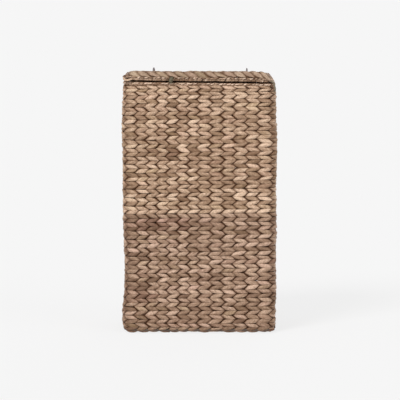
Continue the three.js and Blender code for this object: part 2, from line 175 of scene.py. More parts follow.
@dataclass(frozen=True)
class StrandFinish:
    """Dried water hyacinth stalk, flattened and twisted by hand while damp.

    The stalk dries to a matt, faintly silky tan. Fine ribs run along it, and its colour drifts from pinkish
    brown to olive. Where the strands lie deep between one another, a deep warm brown is painted in as shade.
    """

    name: str
    dark: str
    middle: str
    pale: str
    pink: str
    olive: str
    # The colour painted in as shade where the strand lies deep between others
    fold_shade: str
    roughness: float = 0.62
    specular: float = 0.32
    rib_spacing_mm: float = 0.9
    rib_length_mm: float = 28.0
    blotch_mm: float = 3.8
    speck_mm: float = 2.6

    RIB_GAIN, RIB_OFFSET = 0.46, -0.23
    BLOTCH_GAIN, BLOTCH_OFFSET = 1.1, -0.53
    DARKEST, PALEST = 0.08, 0.92
    PINK_TINTS, OLIVE_TINTS, TINT_SHARE = (0.45, 0.0), (0.55, 1.0), 0.75
    SPECK_SPAN, SPECK_SHARE = (0.56, 0.68), 0.65
    FOLD_SPAN, FOLD_SHARE = (0.78, 0.24), 0.92
    RELIEF_STRENGTH, RELIEF_HEIGHT = 0.55, 0.35 * MM

    def shades(self, tree: Tree, level: Socket) -> Socket:
        """Adds the strand's colours from dark to pale.

        Args:
            tree: The node tree that gets them.
            level: How pale the strand is.

        Returns:
            The colour.
        """
        ramp = add_node(tree, "ShaderNodeValToRGB", Fac=level)
        dark, pale = ramp.color_ramp.elements
        dark.position, dark.color = self.DARKEST, linear(self.dark)
        pale.position, pale.color = self.PALEST, linear(self.pale)
        ramp.color_ramp.elements.new(0.5).color = linear(self.middle)
        return ramp.outputs["Color"]

    def tinted(self, tree: Tree, colour: Socket, tint: Socket) -> Socket:
        """Adds the drift of the colour from pinkish to olive.

        Args:
            tree: The node tree that gets it.
            colour: The colour before it.
            tint: 0 where the stalk is pinkish, 1 where it is olive.

        Returns:
            The colour after it.
        """
        for span, wash in ((self.PINK_TINTS, self.pink), (self.OLIVE_TINTS, self.olive)):
            share = add_range(tree, tint, span, self.TINT_SHARE)
            colour = add_mix(tree, share, colour, linear(wash), "MULTIPLY")
        return colour

    def make(self) -> bpy.types.Material:
        """Builds the material from the strand's tone, tint, bareness and place attributes.

        Returns:
            The finished material.
        """
        material, tree = new_material(self.name)
        names = ("tone", "tint", "bareness", "strand_place")
        nodes = [add_node(tree, "ShaderNodeAttribute", {"attribute_name": name}) for name in names]
        tone, tint, bareness = (node.outputs["Fac"] for node in nodes[:3])
        place = nodes[3].outputs["Vector"]
        across = PER_MM / self.rib_spacing_mm
        scale = (PER_MM / self.rib_length_mm, across, across)
        stretched = add_node(tree, "ShaderNodeMapping", Vector=place, Scale=scale).outputs["Vector"]
        ribs = add_noise(tree, stretched, 1.0, 3.0, 0.6)
        blotches = add_noise(tree, place, PER_MM / self.blotch_mm, 2.0)
        specks = add_noise(tree, place, PER_MM / self.speck_mm, 1.0)
        ribbed = add_math(tree, "MULTIPLY_ADD", ribs, self.RIB_GAIN, self.RIB_OFFSET)
        blotched = add_math(tree, "MULTIPLY_ADD", blotches, self.BLOTCH_GAIN, self.BLOTCH_OFFSET)
        level = add_math(tree, "ADD", tone, add_math(tree, "ADD", ribbed, blotched))
        colour = self.tinted(tree, self.shades(tree, level), tint)
        speck_share = add_range(tree, specks, self.SPECK_SPAN, self.SPECK_SHARE)
        colour = add_mix(tree, speck_share, colour, linear(self.dark))
        # Painted shade: a deep warm brown over the parts that lie deep, where the bareness attribute is low
        painted_shade_share = add_range(tree, bareness, self.FOLD_SPAN, self.FOLD_SHARE)
        colour = add_mix(tree, painted_shade_share, colour, linear(self.fold_shade))
        relief = {"Strength": self.RELIEF_STRENGTH, "Distance": self.RELIEF_HEIGHT}
        shader = add_node(
            tree,
            "ShaderNodeBsdfPrincipled",
            Base_Color=colour,
            Roughness=self.roughness,
            Specular_IOR_Level=self.specular,
            Normal=add_node(tree, "ShaderNodeBump", Height=ribs, **relief).outputs["Normal"],
        )
        add_node(tree, "ShaderNodeOutputMaterial", Surface=shader.outputs[0])
        return material


@dataclass(frozen=True)
class SteelFinish:
    """Drawn steel rod or wire, bare or under a thin lacquer.

    Drawing leaves fine lines along the rod. Bare wire is a dull grey with soft highlights. Lacquer makes it a
    brown grey, with small dark freckles of rust.
    """

    name: str
    colour: str
    freckle: str
    roughness: float
    metallic: float
    freckle_mm: float = 2.6
    line_mm: float = 0.5

    FRECKLE_SPAN, FRECKLE_SHARE = (0.55, 0.72), 0.8
    DULL_SPAN = (0.3, 0.75)
    SMOOTHER, ROUGHER = 0.06, 0.18
    RELIEF_STRENGTH, RELIEF_HEIGHT = 0.25, 0.1 * MM

    def make(self) -> bpy.types.Material:
        """Builds the material.

        Returns:
            The finished material.
        """
        material, tree = new_material(self.name)
        place = add_node(tree, "ShaderNodeTexCoord").outputs["Object"]
        freckles = add_noise(tree, place, PER_MM / self.freckle_mm, 4.0)
        lines = add_noise(tree, place, PER_MM / self.line_mm, 2.0)
        freckled = add_range(tree, freckles, self.FRECKLE_SPAN, self.FRECKLE_SHARE)
        least, most = self.roughness - self.SMOOTHER, self.roughness + self.ROUGHER
        relief = {"Strength": self.RELIEF_STRENGTH, "Distance": self.RELIEF_HEIGHT}
        shader = add_node(
            tree,
            "ShaderNodeBsdfPrincipled",
            Base_Color=add_mix(tree, freckled, linear(self.colour), linear(self.freckle)),
            Roughness=add_range(tree, freckles, self.DULL_SPAN, most, least),
            Metallic=self.metallic,
            Normal=add_node(tree, "ShaderNodeBump", Height=lines, **relief).outputs["Normal"],
        )
        add_node(tree, "ShaderNodeOutputMaterial", Surface=shader.outputs[0])
        return material


# The upper lot of strand: grey tan, with pinkish and olive stalks among it
HYACINTH = StrandFinish(
    name="water_hyacinth_twined",
    dark="#7A5D45",
    middle="#A5876E",
    pale="#D6B99F",
    pink="#F7EAEC",
    olive="#F0F1DD",
    fold_shade="#553013",
)

# A browner lot, woven below the seam
SHADED_HYACINTH = StrandFinish(
    name="water_hyacinth_twined_darker_lot",
    dark="#6F533F",
    middle="#977A64",
    pale="#C6A892",
    pink="#F5E7EC",
    olive="#EEF0DC",
    fold_shade="#4E2C13",
)

# The lid's strand, greyer than the walls'; the lid's rows get a low tone as painted shade
LID_HYACINTH = StrandFinish(
    name="water_hyacinth_twined_lid",
    dark="#866E5A",
    middle="#AA907A",
    pale="#D0BAA5",
    pink="#F6EBEC",
    olive="#EFF1E0",
    fold_shade="#5C3D24",
)

# Thin strand split from the palest stalks, for the edges of rim and lid
BINDING_STRAND = StrandFinish(
    name="water_hyacinth_split_pale",
    dark="#80624B",
    middle="#B89A81",
    pale="#E6CBB4",
    pink="#F8EEEE",
    olive="#F2F2E2",
    fold_shade="#4E2D14",
    rib_spacing_mm=0.7,
)

# Stalks that dried in the open until they went grey and olive, for a few loose ends
WEATHERED_HYACINTH = StrandFinish(
    name="water_hyacinth_weathered",
    dark="#4E4838",
    middle="#746C58",
    pale="#A09884",
    pink="#F0E8EA",
    olive="#EEF2DC",
    fold_shade="#33260F",
)

# Lacquered rod of the frame
FRAME_STEEL = SteelFinish(
    name="lacquered_steel_rod", colour="#5A4E46", freckle="#3A2A20", roughness=0.5, metallic=0.35
)

# Bare drawn wire of the two hinge rings
RING_STEEL = SteelFinish(
    name="drawn_steel_wire", colour="#776D6F", freckle="#51474A", roughness=0.38, metallic=0.85
)


# Where the weave lies

# A hand-woven wall isn't straight: height, and how far its left and right side stand out there, in mm
SIDE_LINE = (
    (0, 1.0, -2.0),
    (25, 2.5, -1.2),
    (50, 2.5, -1.0),
    (100, -2.8, 0.3),
    (165, -3.6, -1.5),
    (225, -1.5, -0.6),
    (290, -0.2, -0.6),
    (340, -0.2, -1.6),
    (410, 0.2, 0.8),
    (455, 1.4, 1.2),
    (500, 2.2, -1.3),
    (550, 0.0, -1.3),
    (580, 0.0, -2.2),
)

# How far each hinge ring has slid to the right and up, in mm, and its twist in degrees
RING_PLACES = {"left": (3.8, 2.2, 5), "right": (-1.0, 0.7, 4)}

# Patches where the front is darker or paler and tinted: x, height, half width, half height in mm, tone and
# tint
FRONT_PATCHES = (
    (-95, 257, 75, 13, -0.10, -0.35),
    (-148, 96, 34, 22, -0.26, -0.25),
    (-150, 20, 30, 20, -0.12, 0.15),
    (135, 98, 44, 18, -0.14, 0.0),
    (125, 20, 48, 20, -0.10, 0.0),
    (0, 62, 42, 16, -0.14, 0.1),
    (150, 556, 22, 16, -0.18, 0.1),
    (146, 520, 30, 18, 0.15, 0.15),
    (156, 300, 15, 330, 0.11, 0.0),
)


def passed(place: np.ndarray, half: float) -> np.ndarray:
    """The share of the way across the basket at each place, from 0 at -half to 1 at +half."""
    return np.clip(0.5 + place / (2 * half), 0, 1)


def signed_power(value: np.ndarray, power: float) -> np.ndarray:
    """A value's size to a power, with the value's sign."""
    return np.sign(value) * np.abs(value) ** power


def unit(ways: np.ndarray) -> np.ndarray:
    """Vectors brought to length 1."""
    return ways / np.linalg.norm(ways, axis=1, keepdims=True)


def full_turn(sides: int) -> np.ndarray:
    """Angles all round, one for each side."""
    return 2 * np.pi * np.arange(sides) / sides


class Surface(ABC):
    """A curved sheet on which strands are laid by distance along it, height up it and depth out of it."""

    @abstractmethod
    def place(self, along: np.ndarray, up: np.ndarray, out: np.ndarray) -> np.ndarray:
        """Turns places on the sheet into points.

        Args:
            along: Distances along the rows.
            up: Distances across the rows.
            out: Distances out of the sheet.

        Returns:
            The points, with one more axis of length 3.
        """


@dataclass(frozen=True)
class Plan:
    """The rounded rectangle that the frame's hoops follow.

    Distances run round it from the middle of the front left corner, along the front to the right.
    """

    half_width: float
    half_depth: float
    corner_radius: float

    def legs(self) -> list[float]:
        """Lengths of the half corner, the long side, a corner, the short side and so on, all round."""
        corner = self.corner_radius * math.pi / 2
        wide = 2 * (self.half_width - self.corner_radius)
        deep = 2 * (self.half_depth - self.corner_radius)
        return [corner / 2, wide, corner, deep, corner, wide, corner, deep, corner / 2]

    def length(self) -> float:
        """The way all round the hoop."""
        return sum(self.legs())

    def front_middle(self) -> float:
        """The way round to the middle of the front."""
        legs = self.legs()
        return legs[0] + legs[1] / 2

    def back_middle(self) -> float:
        """The way round to the middle of the back."""
        legs = self.legs()
        return sum(legs[:5]) + legs[5] / 2

    def at(self, along: np.ndarray, outward: np.ndarray) -> tuple[np.ndarray, np.ndarray]:
        """Places on the plan.

        Args:
            along: Distances round the hoop.
            outward: Distances out from it.

        Returns:
            The x and y of each place.
        """
        stops = np.concatenate([[0.0], np.cumsum(self.legs())])
        x_half = self.half_width - self.corner_radius
        y_half = self.half_depth - self.corner_radius
        x_stops = x_half * np.array([-1, -1, 1, 1, 1, 1, -1, -1, -1, -1])
        y_stops = y_half * np.array([-1, -1, -1, -1, 1, 1, 1, 1, -1, -1])
        turns = math.radians(90) * np.array([-1.5, -1, -1, 0, 0, 1, 1, 2, 2, 2.5])
        where = np.mod(along, stops[-1])
        angle = np.interp(where, stops, turns)
        reach = self.corner_radius + outward
        x = np.interp(where, stops, x_stops) + reach * np.cos(angle)
        y = np.interp(where, stops, y_stops) + reach * np.sin(angle)
        return x, y

    def corner_nearness(self, along: np.ndarray, spread: float) -> np.ndarray:
        """How near each place is to the middle of a corner.

        Args:
            along: Distances round the hoop.
            spread: The distance over which nearness fades.

        Returns:
            1 at a corner's middle, falling to 0 away from it.
        """
        legs = self.legs()
        total = self.length()
        middles = np.cumsum([0.0, legs[1] + legs[2], legs[3] + legs[4], legs[5] + legs[6]])
        gaps = np.abs(np.mod(along[..., None] - middles + total / 2, total) - total / 2)
        return np.exp(-((gaps.min(axis=-1) / spread) ** 2))


@dataclass(frozen=True)
class Sag:
    """How the rim or the lid has sunk, most at its front right, and how its ends have drawn in."""

    half_width: float
    half_depth: float
    front_drop: float
    right_drop: float
    end_drop: float
    right_inset: float
    left_lift: float = 0.0
    left_inset: float = 0.0
    back_right_inset: float = 0.0

    RIGHT_DROP_POWER = 6
    LEFT_LIFT_POWER = 8
    INSET_POWER = 4

    def drop(self, x: np.ndarray, y: np.ndarray) -> np.ndarray:
        """How far down each place has sunk."""
        right_end = np.clip(x / self.half_width, 0, 1) ** self.RIGHT_DROP_POWER
        left_end = np.clip(-x / self.half_width, 0, 1) ** self.LEFT_LIFT_POWER
        sunk = self.front_drop + self.right_drop * passed(x, self.half_width) - self.left_lift * left_end
        return passed(-y, self.half_depth) * sunk + self.end_drop * right_end

    def slide(self, x: np.ndarray, y: np.ndarray) -> np.ndarray:
        """How far each place has drawn in, positive to the right."""
        right = np.clip(x / self.half_width, 0, 1) ** self.INSET_POWER
        left = np.clip(-x / self.half_width, 0, 1) ** self.INSET_POWER
        right_inset = self.right_inset + self.back_right_inset * passed(y, self.half_depth)
        return self.left_inset * left - right_inset * right

    def move(self, points: np.ndarray) -> np.ndarray:
        """Moves points, with x, y and z on the last axis, along with the sag."""
        x, y, z = np.moveaxis(points, -1, 0)
        return np.stack([x + self.slide(x, y), y, z - self.drop(x, y)], axis=-1)


@dataclass(frozen=True)
class Crown:
    """How the lid's weave stands up from its hoop: flat on it at the hinge, most at the front.

    The edge row may hang `rest` below the hoop's axis. Lower down it lies on the rim and is pressed flat.
    """

    half_width: float
    half_depth: float
    mat_rise: float = 12.0 * MM
    edge_rise: float = 12.4 * MM
    rest: float = 3.6 * MM
    edge_tilt: float = 72.0
    end_share: float = 0.25
    end_tilt_loss: float = 0.2
    left_fall: float = 0.75
    right_fall: float = 1.0
    right_gain: float = 0.17
    hinge_press: float = 1.8 * MM
    rod_end_share: float = 0.08

    END_POWER = 4
    TILT_GROWTH = 2.5

    def near_end(self, x: np.ndarray) -> np.ndarray:
        """0 over most of the lid, growing to 1 at its left and right ends."""
        return np.clip((np.abs(x) / self.half_width - 1) / self.end_share + 1, 0, 1) ** self.END_POWER

    def share(self, x: np.ndarray, y: np.ndarray) -> np.ndarray:
        """0 at the hinge, growing to 1 at the front, more to the right and less at both ends."""
        fall = np.where(x < 0, self.left_fall, self.right_fall)
        most = 1 + self.right_gain * np.clip(x / self.half_width, 0, 1)
        return passed(-y, self.half_depth) * most * (1 - fall * self.near_end(x))

    def rise(self, x: np.ndarray, y: np.ndarray, most: float) -> np.ndarray:
        """How far up each place stands: less than nothing at the hinge, so that the lid can hang back."""
        near_hinge = passed(y, self.half_depth) ** self.END_POWER
        return most * self.share(x, y) - self.hinge_press * near_hinge

    def tilt(self, x: np.ndarray, y: np.ndarray) -> np.ndarray:
        """How far the edge row has rolled over outwards, in radians."""
        from_hinge = np.clip(self.TILT_GROWTH * passed(-y, self.half_depth), 0, 1)
        return math.radians(self.edge_tilt) * from_hinge * (1 - self.end_tilt_loss * self.near_end(x))

    def bow(self, line: np.ndarray) -> np.ndarray:
        """Bows a rod up with the weave, but for its ends, which meet the hoop.

        Args:
            line: Points along the rod, from end to end.

        Returns:
            The moved points.
        """
        along = np.linspace(0, 1, len(line))
        free = np.clip(np.minimum(along, 1 - along) / self.rod_end_share, 0, 1)
        rise = self.mat_rise * self.share(line[:, 0], line[:, 1]) * free * (2 - free)
        return line + rise[:, None] * np.array([0, 0, 1])


@dataclass(frozen=True)
class Eye:
    """A hole where an awl parted two rows of the weave, so that a hinge ring passes through.

    Strands above `level` are pushed up and those below it down, less and less away from the hole.
    """

    along: float
    level: float
    push_up: float
    push_down: float
    half_width: float
    reach: float

    def shift(self, along: np.ndarray, up: np.ndarray) -> np.ndarray:
        """How far each place is pushed up.

        Args:
            along: Distances along the rows.
            up: Distances across the rows.

        Returns:
            The shifts, negative for down.
        """
        across = np.exp(-(((along - self.along) / self.half_width) ** 2))
        fade = np.exp(-np.abs(up - self.level) / self.reach)
        return across * fade * np.where(up >= self.level, self.push_up, -self.push_down)


@dataclass(frozen=True)
class WallSurface(Surface):
    """The basket's wall, from the rim down, rolled in under the basket at the foot."""

    plan: Plan
    top: float
    face: float
    bulge: float
    foot_height: float
    foot_tuck: float
    shoulder: float
    rim_sag: Sag
    eyes: tuple[Eye, ...] = ()

    FOOT_STEPS = 64
    SHOULDER_HEIGHT = 14 * MM
    PRESSED_FLAT = 0.2 * MM
    SAG_REACH = 22 * MM
    ROW_RISE = 1.7 * MM
    ROW_RISE_FADE = 60 * MM
    CORNER_REACH = 60 * MM
    CORNER_HOLD = 0.6

    def foot_table(self) -> tuple[np.ndarray, np.ndarray]:
        """Turns of the foot's quarter ellipse and the way down it to each."""
        turns = np.linspace(0, math.pi / 2, self.FOOT_STEPS)
        slopes = np.hypot(self.foot_tuck * np.sin(turns), self.foot_height * np.cos(turns))
        steps = (slopes[1:] + slopes[:-1]) / 2 * np.diff(turns)
        return turns, np.concatenate([[0.0], np.cumsum(steps)])

    def lowest(self) -> float:
        """The height up the wall at which the foot has turned flat under the basket."""
        return self.foot_height - self.foot_table()[1][-1]

    def level_of(self, height: float) -> float:
        """The distance up the wall of a real height on its foot.

        Args:
            height: A height above the floor.

        Returns:
            The distance up the wall.
        """
        if height >= self.foot_height:
            return height
        turns, way = self.foot_table()
        turn = math.asin(1 - height / self.foot_height)
        return self.foot_height - float(np.interp(turn, turns, way))

    def place(self, along: np.ndarray, up: np.ndarray, out: np.ndarray) -> np.ndarray:
        """Turns distances round, up and out of the wall into points."""
        for eye in self.eyes:
            up = up + eye.shift(along, up)
        turns, way = self.foot_table()
        turn = np.interp(self.foot_height - up, way, turns)
        under = up < self.foot_height
        face_out = self.face - np.where(under, self.foot_tuck * (1 - np.cos(turn)), 0)
        face_up = np.where(under, self.foot_height * (1 - np.sin(turn)), up)
        facing = np.stack([np.cos(turn) * self.foot_height, -np.sin(turn) * self.foot_tuck])
        facing = facing / np.linalg.norm(facing, axis=0)
        depth = out - self.face
        swell = self.bulge * np.sin(np.pi * np.clip(up / self.top, 0, 1))
        swell = swell * (1 - self.CORNER_HOLD * self.plan.corner_nearness(along, self.CORNER_REACH))
        shoulder = self.shoulder * np.clip((up - self.top) / self.SHOULDER_HEIGHT + 1, 0, 1) ** 2
        outward = face_out + depth * np.where(under, facing[0], 1) + swell - shoulder
        height = face_up + depth * np.where(under, facing[1], 0)
        x, y = self.plan.at(along, outward)
        levels, left, right = np.array(SIDE_LINE).T * MM
        grown = np.where(x < 0, np.interp(face_up, levels, left), np.interp(face_up, levels, right))
        x = x * (1 + grown / self.plan.half_width)
        rise = self.ROW_RISE * x / self.plan.half_width * np.clip(face_up / self.ROW_RISE_FADE, 0, 1)
        sunk = self.rim_sag.drop(x, y) * np.exp(np.clip(up - self.top, None, 0) / self.SAG_REACH)
        return np.stack([x, y, np.maximum(height + rise - sunk, self.PRESSED_FLAT)], axis=-1)


@dataclass(frozen=True)
class UprightSurface(Surface):
    """A plain upright sheet through the hoops."""

    plan: Plan

    def place(self, along: np.ndarray, up: np.ndarray, out: np.ndarray) -> np.ndarray:
        """Turns distances round the hoop, heights and depths into points."""
        x, y = self.plan.at(along, out)
        return np.stack([x, y, up], axis=-1)


@dataclass(frozen=True)
class LevelSurface(Surface):
    """A mat whose rows run from left to right: the base's, which is flat, or the lid's, which is crowned."""

    height: float
    crown: Crown | None = None
    eyes: tuple[Eye, ...] = ()

    def place(self, along: np.ndarray, up: np.ndarray, out: np.ndarray) -> np.ndarray:
        """Turns x, y and distances above the mat into points."""
        for eye in self.eyes:
            up = up + eye.shift(along, up)
        rise = self.crown.rise(along, up, self.crown.mat_rise) if self.crown else 0.0
        return np.stack([along, up, self.height + rise + out], axis=-1)


@dataclass(frozen=True)
class EdgeSurface(Surface):
    """A ring that follows the lid's hoop: flat on it at the hinge, nearly upright on it elsewhere."""

    plan: Plan
    height: float
    crown: Crown

    PRESSED_SHARE = 0.8

    def place(self, along: np.ndarray, up: np.ndarray, out: np.ndarray) -> np.ndarray:
        """Turns distances round, across the ring from inside to outside, and out of it into points."""
        on_hoop = self.plan.at(along, np.zeros_like(along))
        tilt = self.crown.tilt(*on_hoop)
        x, y = self.plan.at(along, up * np.cos(tilt) + out * np.sin(tilt))
        rise = self.crown.rise(*on_hoop, self.crown.edge_rise)
        lift = rise - up * np.sin(tilt) + out * np.cos(tilt)
        below_rest = np.minimum(lift + self.crown.rest, 0)
        return np.stack([x, y, self.height + lift - self.PRESSED_SHARE * below_rest], axis=-1)


# Strands


class Slant(Enum):
    """Which way a row's stitches climb, seen from outside."""

    RISING = 1
    FALLING = -1


# The slants of rows that lie side by side, by turns
SLANTS = (Slant.FALLING, Slant.RISING)


@dataclass(frozen=True)
class Stitch:
    """The stitches of one kind of row.

    Depth, thickness, `middle_out` and the looseness in `out`, `up` and `along` are lengths. Climb and the
    half heights are shares of the row's height. A `dive` size is the strand's where it passes inside.
    """

    depth: float
    climb: float
    half_height: float
    half_height_dive: float
    half_thickness: float
    half_thickness_dive: float
    middle_out: float
    around: int = 10
    steps: int = 14
    squareness: float = 0.75
    steepness: float = 0.5
    inner_fold: float = 0.0
    fullness: float = 0.35
    overlap: float = -0.025
    seam_slope: float = 0.95
    crowding: float = 0.6
    loose_out: float = 0.6 * MM
    loose_up: float = 0.6 * MM
    loose_along: float = 1.6 * MM
    loose_size: float = 0.11
    loose_room: float = 0.09
    loose_roll: float = 0.2


@dataclass(frozen=True)
class Mood:
    """How the colour of a row's strands wanders: its usual tone, and how far it strays."""

    tone: float = 0.5
    stray: float = 0.15
    patch: float = 0.11
    tint: float = 0.5
    tint_stray: float = 0.13
    patch_stitches: float = 4.0


@dataclass(frozen=True)
class Patch:
    """A part of the weave whose tone and tint are shifted, with its middle at `along` and `up`."""

    along: float
    up: float
    half_width: float
    half_height: float
    tone: float
    tint: float = 0.0

    EDGE_POWER = 4

    def share(self, along: np.ndarray, up: float, length: float) -> np.ndarray:
        """How much of the patch shows at each place.

        Args:
            along: Distances along the rows.
            up: The row's height.
            length: The distance at which a row closes.

        Returns:
            1 inside the patch, falling to 0 outside.
        """
        across = (np.mod(along - self.along + length / 2, length) - length / 2) / self.half_width
        upward = (up - self.up) / self.half_height
        return np.exp(-(across**self.EDGE_POWER) - upward**self.EDGE_POWER)


@dataclass
class StrandMesh:
    """Collects strands and makes one mesh of them, with a place in the map for every stitch."""

    name: str
    points: list[np.ndarray] = field(default_factory=list)
    quads: list[np.ndarray] = field(default_factory=list)
    caps: list[np.ndarray] = field(default_factory=list)
    cells: list[tuple[int, int, int]] = field(default_factory=list)
    values: dict[str, list[np.ndarray]] = field(default_factory=dict)
    count: int = 0

    CELL_EDGE = 0.03
    CELL_SHAPE = 1.25

    def add(self, grid: np.ndarray, values: dict[str, np.ndarray], per_cell: int, closed: bool) -> None:
        """Adds one strand.

        Args:
            grid: Its points, by section and then around.
            values: Values of each point by name, with the same first two axes.
            per_cell: Sections in one stitch.
            closed: Whether its end joins its start.
        """
        sections, around = grid.shape[:2]
        numbers = self.count + np.arange(sections * around).reshape(sections, around)
        following = np.roll(numbers, -1, axis=0) if closed else numbers[1:]
        first = numbers if closed else numbers[:-1]
        ahead = np.roll(first, -1, axis=1)
        far = np.roll(following, -1, axis=1)
        self.quads.append(np.stack([first, following, far, ahead], axis=-1).reshape(-1, 4))
        steps = len(first)
        self.cells.append((steps, around, per_cell))
        self.points.append(grid.reshape(-1, 3))
        for name, value in values.items():
            self.values.setdefault(name, []).append(value.reshape(sections * around, -1))
        if not closed:
            self.caps.append(numbers[0])
            self.caps.append(numbers[-1][::-1])
        self.count += sections * around

    def map_corners(self) -> np.ndarray:
        """Gives every stitch its own cell of the map.

        Returns:
            Map places of every corner of the quads.
        """
        total = sum(math.ceil(steps / per_cell) for steps, _, per_cell in self.cells) + len(self.caps)
        columns = max(1, round(math.sqrt(total / self.CELL_SHAPE)))
        rows = math.ceil(total / columns)
        room = 1 - 2 * self.CELL_EDGE
        corners = []
        used = 0
        for steps, around, per_cell in self.cells:
            cell = used + np.arange(steps) // per_cell
            used += math.ceil(steps / per_cell)
            local = (np.arange(steps) % per_cell) / per_cell
            left = (cell % columns + self.CELL_EDGE + local * room) / columns
            bottom = (cell[:, None] // columns + self.CELL_EDGE + np.arange(around) / around * room) / rows
            left = np.broadcast_to(left[:, None], bottom.shape)
            right = left + room / (per_cell * columns)
            top = bottom + room / (around * rows)
            u = np.stack([left, right, right, left], axis=-1)
            v = np.stack([bottom, bottom, top, top], axis=-1)
            corners.append(np.stack([u, v], axis=-1).reshape(-1, 2))
        for cap in self.caps:
            angle = full_turn(len(cap))
            middle = np.array([used % columns + 0.5, used // columns + 0.5])
            rim = middle + (0.5 - self.CELL_EDGE) * np.stack([np.cos(angle), np.sin(angle)], axis=-1)
            corners.append(rim / [columns, rows])
            used += 1
        return np.concatenate(corners)

    def finish(self, material: bpy.types.Material, sag: Sag | None = None) -> bpy.types.Object:
        """Makes the object.

        Args:
            material: What it is made of.
            sag: How it has sunk, if it has.

        Returns:
            The object, linked to the scene.
        """
        points = np.concatenate(self.points)
        if sag is not None:
            points = sag.move(points)
        quads = np.concatenate(self.quads)
        loops = np.concatenate([quads.ravel(), *self.caps])
        sizes = np.concatenate([np.full(len(quads), 4), [len(cap) for cap in self.caps]]).astype(int)
        starts = np.concatenate([[0], np.cumsum(sizes)[:-1]]).astype(np.int32)
        mesh = bpy.data.meshes.new(self.name)
        mesh.vertices.add(len(points))
        mesh.loops.add(len(loops))
        mesh.polygons.add(len(sizes))
        mesh.vertices.foreach_set("co", points.astype(np.float32).ravel())
        mesh.loops.foreach_set("vertex_index", loops.astype(np.int32))
        mesh.polygons.foreach_set("loop_start", starts)
        mesh.polygons.foreach_set("use_smooth", np.ones(len(sizes), bool))
        mesh.update(calc_edges=True)
        for name, parts in self.values.items():
            value = np.concatenate(parts).astype(np.float32)
            kind = "FLOAT_VECTOR" if value.shape[1] == 3 else "FLOAT"
            entry = "vector" if value.shape[1] == 3 else "value"
            mesh.attributes.new(name, kind, "POINT").data.foreach_set(entry, value.ravel())
        layer = mesh.uv_layers.new(name="OFBake")
        layer.data.foreach_set("uv", self.map_corners().astype(np.float32).ravel())
        mesh.materials.append(material)
        made = bpy.data.objects.new(self.name, mesh)
        bpy.context.scene.collection.objects.link(made)
        log.info("%s: %d faces", self.name, len(sizes))
        return made


@dataclass(frozen=True)
class Waver:
    """Slow, seamless wandering over a sheet, as stakes lean and rows ride up and down."""

    length: float
    waves: np.ndarray

    MOST_TURNS = 5
    HEIGHTS = (0.5, 3.0)

    @classmethod
    def make(cls, rng: np.random.Generator, length: float, number: int, height: float) -> "Waver":
        """Draws the waves.

        Args:
            rng: The source of chance.
            length: The length round which the waves close.
            number: How many waves there are.
            height: The height that theirs are multiples of.

        Returns:
            The wandering.
        """
        rows = []
        for _ in range(number):
            turns = rng.integers(-cls.MOST_TURNS, cls.MOST_TURNS + 1)
            rows.append((turns, rng.uniform(*cls.HEIGHTS) * height, rng.uniform(0, 2 * math.pi)))
        return cls(length, np.array(rows))

    def at(self, along: np.ndarray, up: np.ndarray) -> np.ndarray:
        """The wandering at each place, mostly between -1 and 1."""
        total = np.zeros(np.broadcast(along, up).shape)
        for turns, height, start in self.waves:
            total = total + np.sin(2 * np.pi * (turns * along / self.length + up / height) + start)
        return total / math.sqrt(len(self.waves))


@dataclass(frozen=True)
class Row:
    """One row of the weave: its middle line, its height and the way its stitches climb."""

    middle: float
    height: float
    slant: Slant
    mood: Mood = Mood()


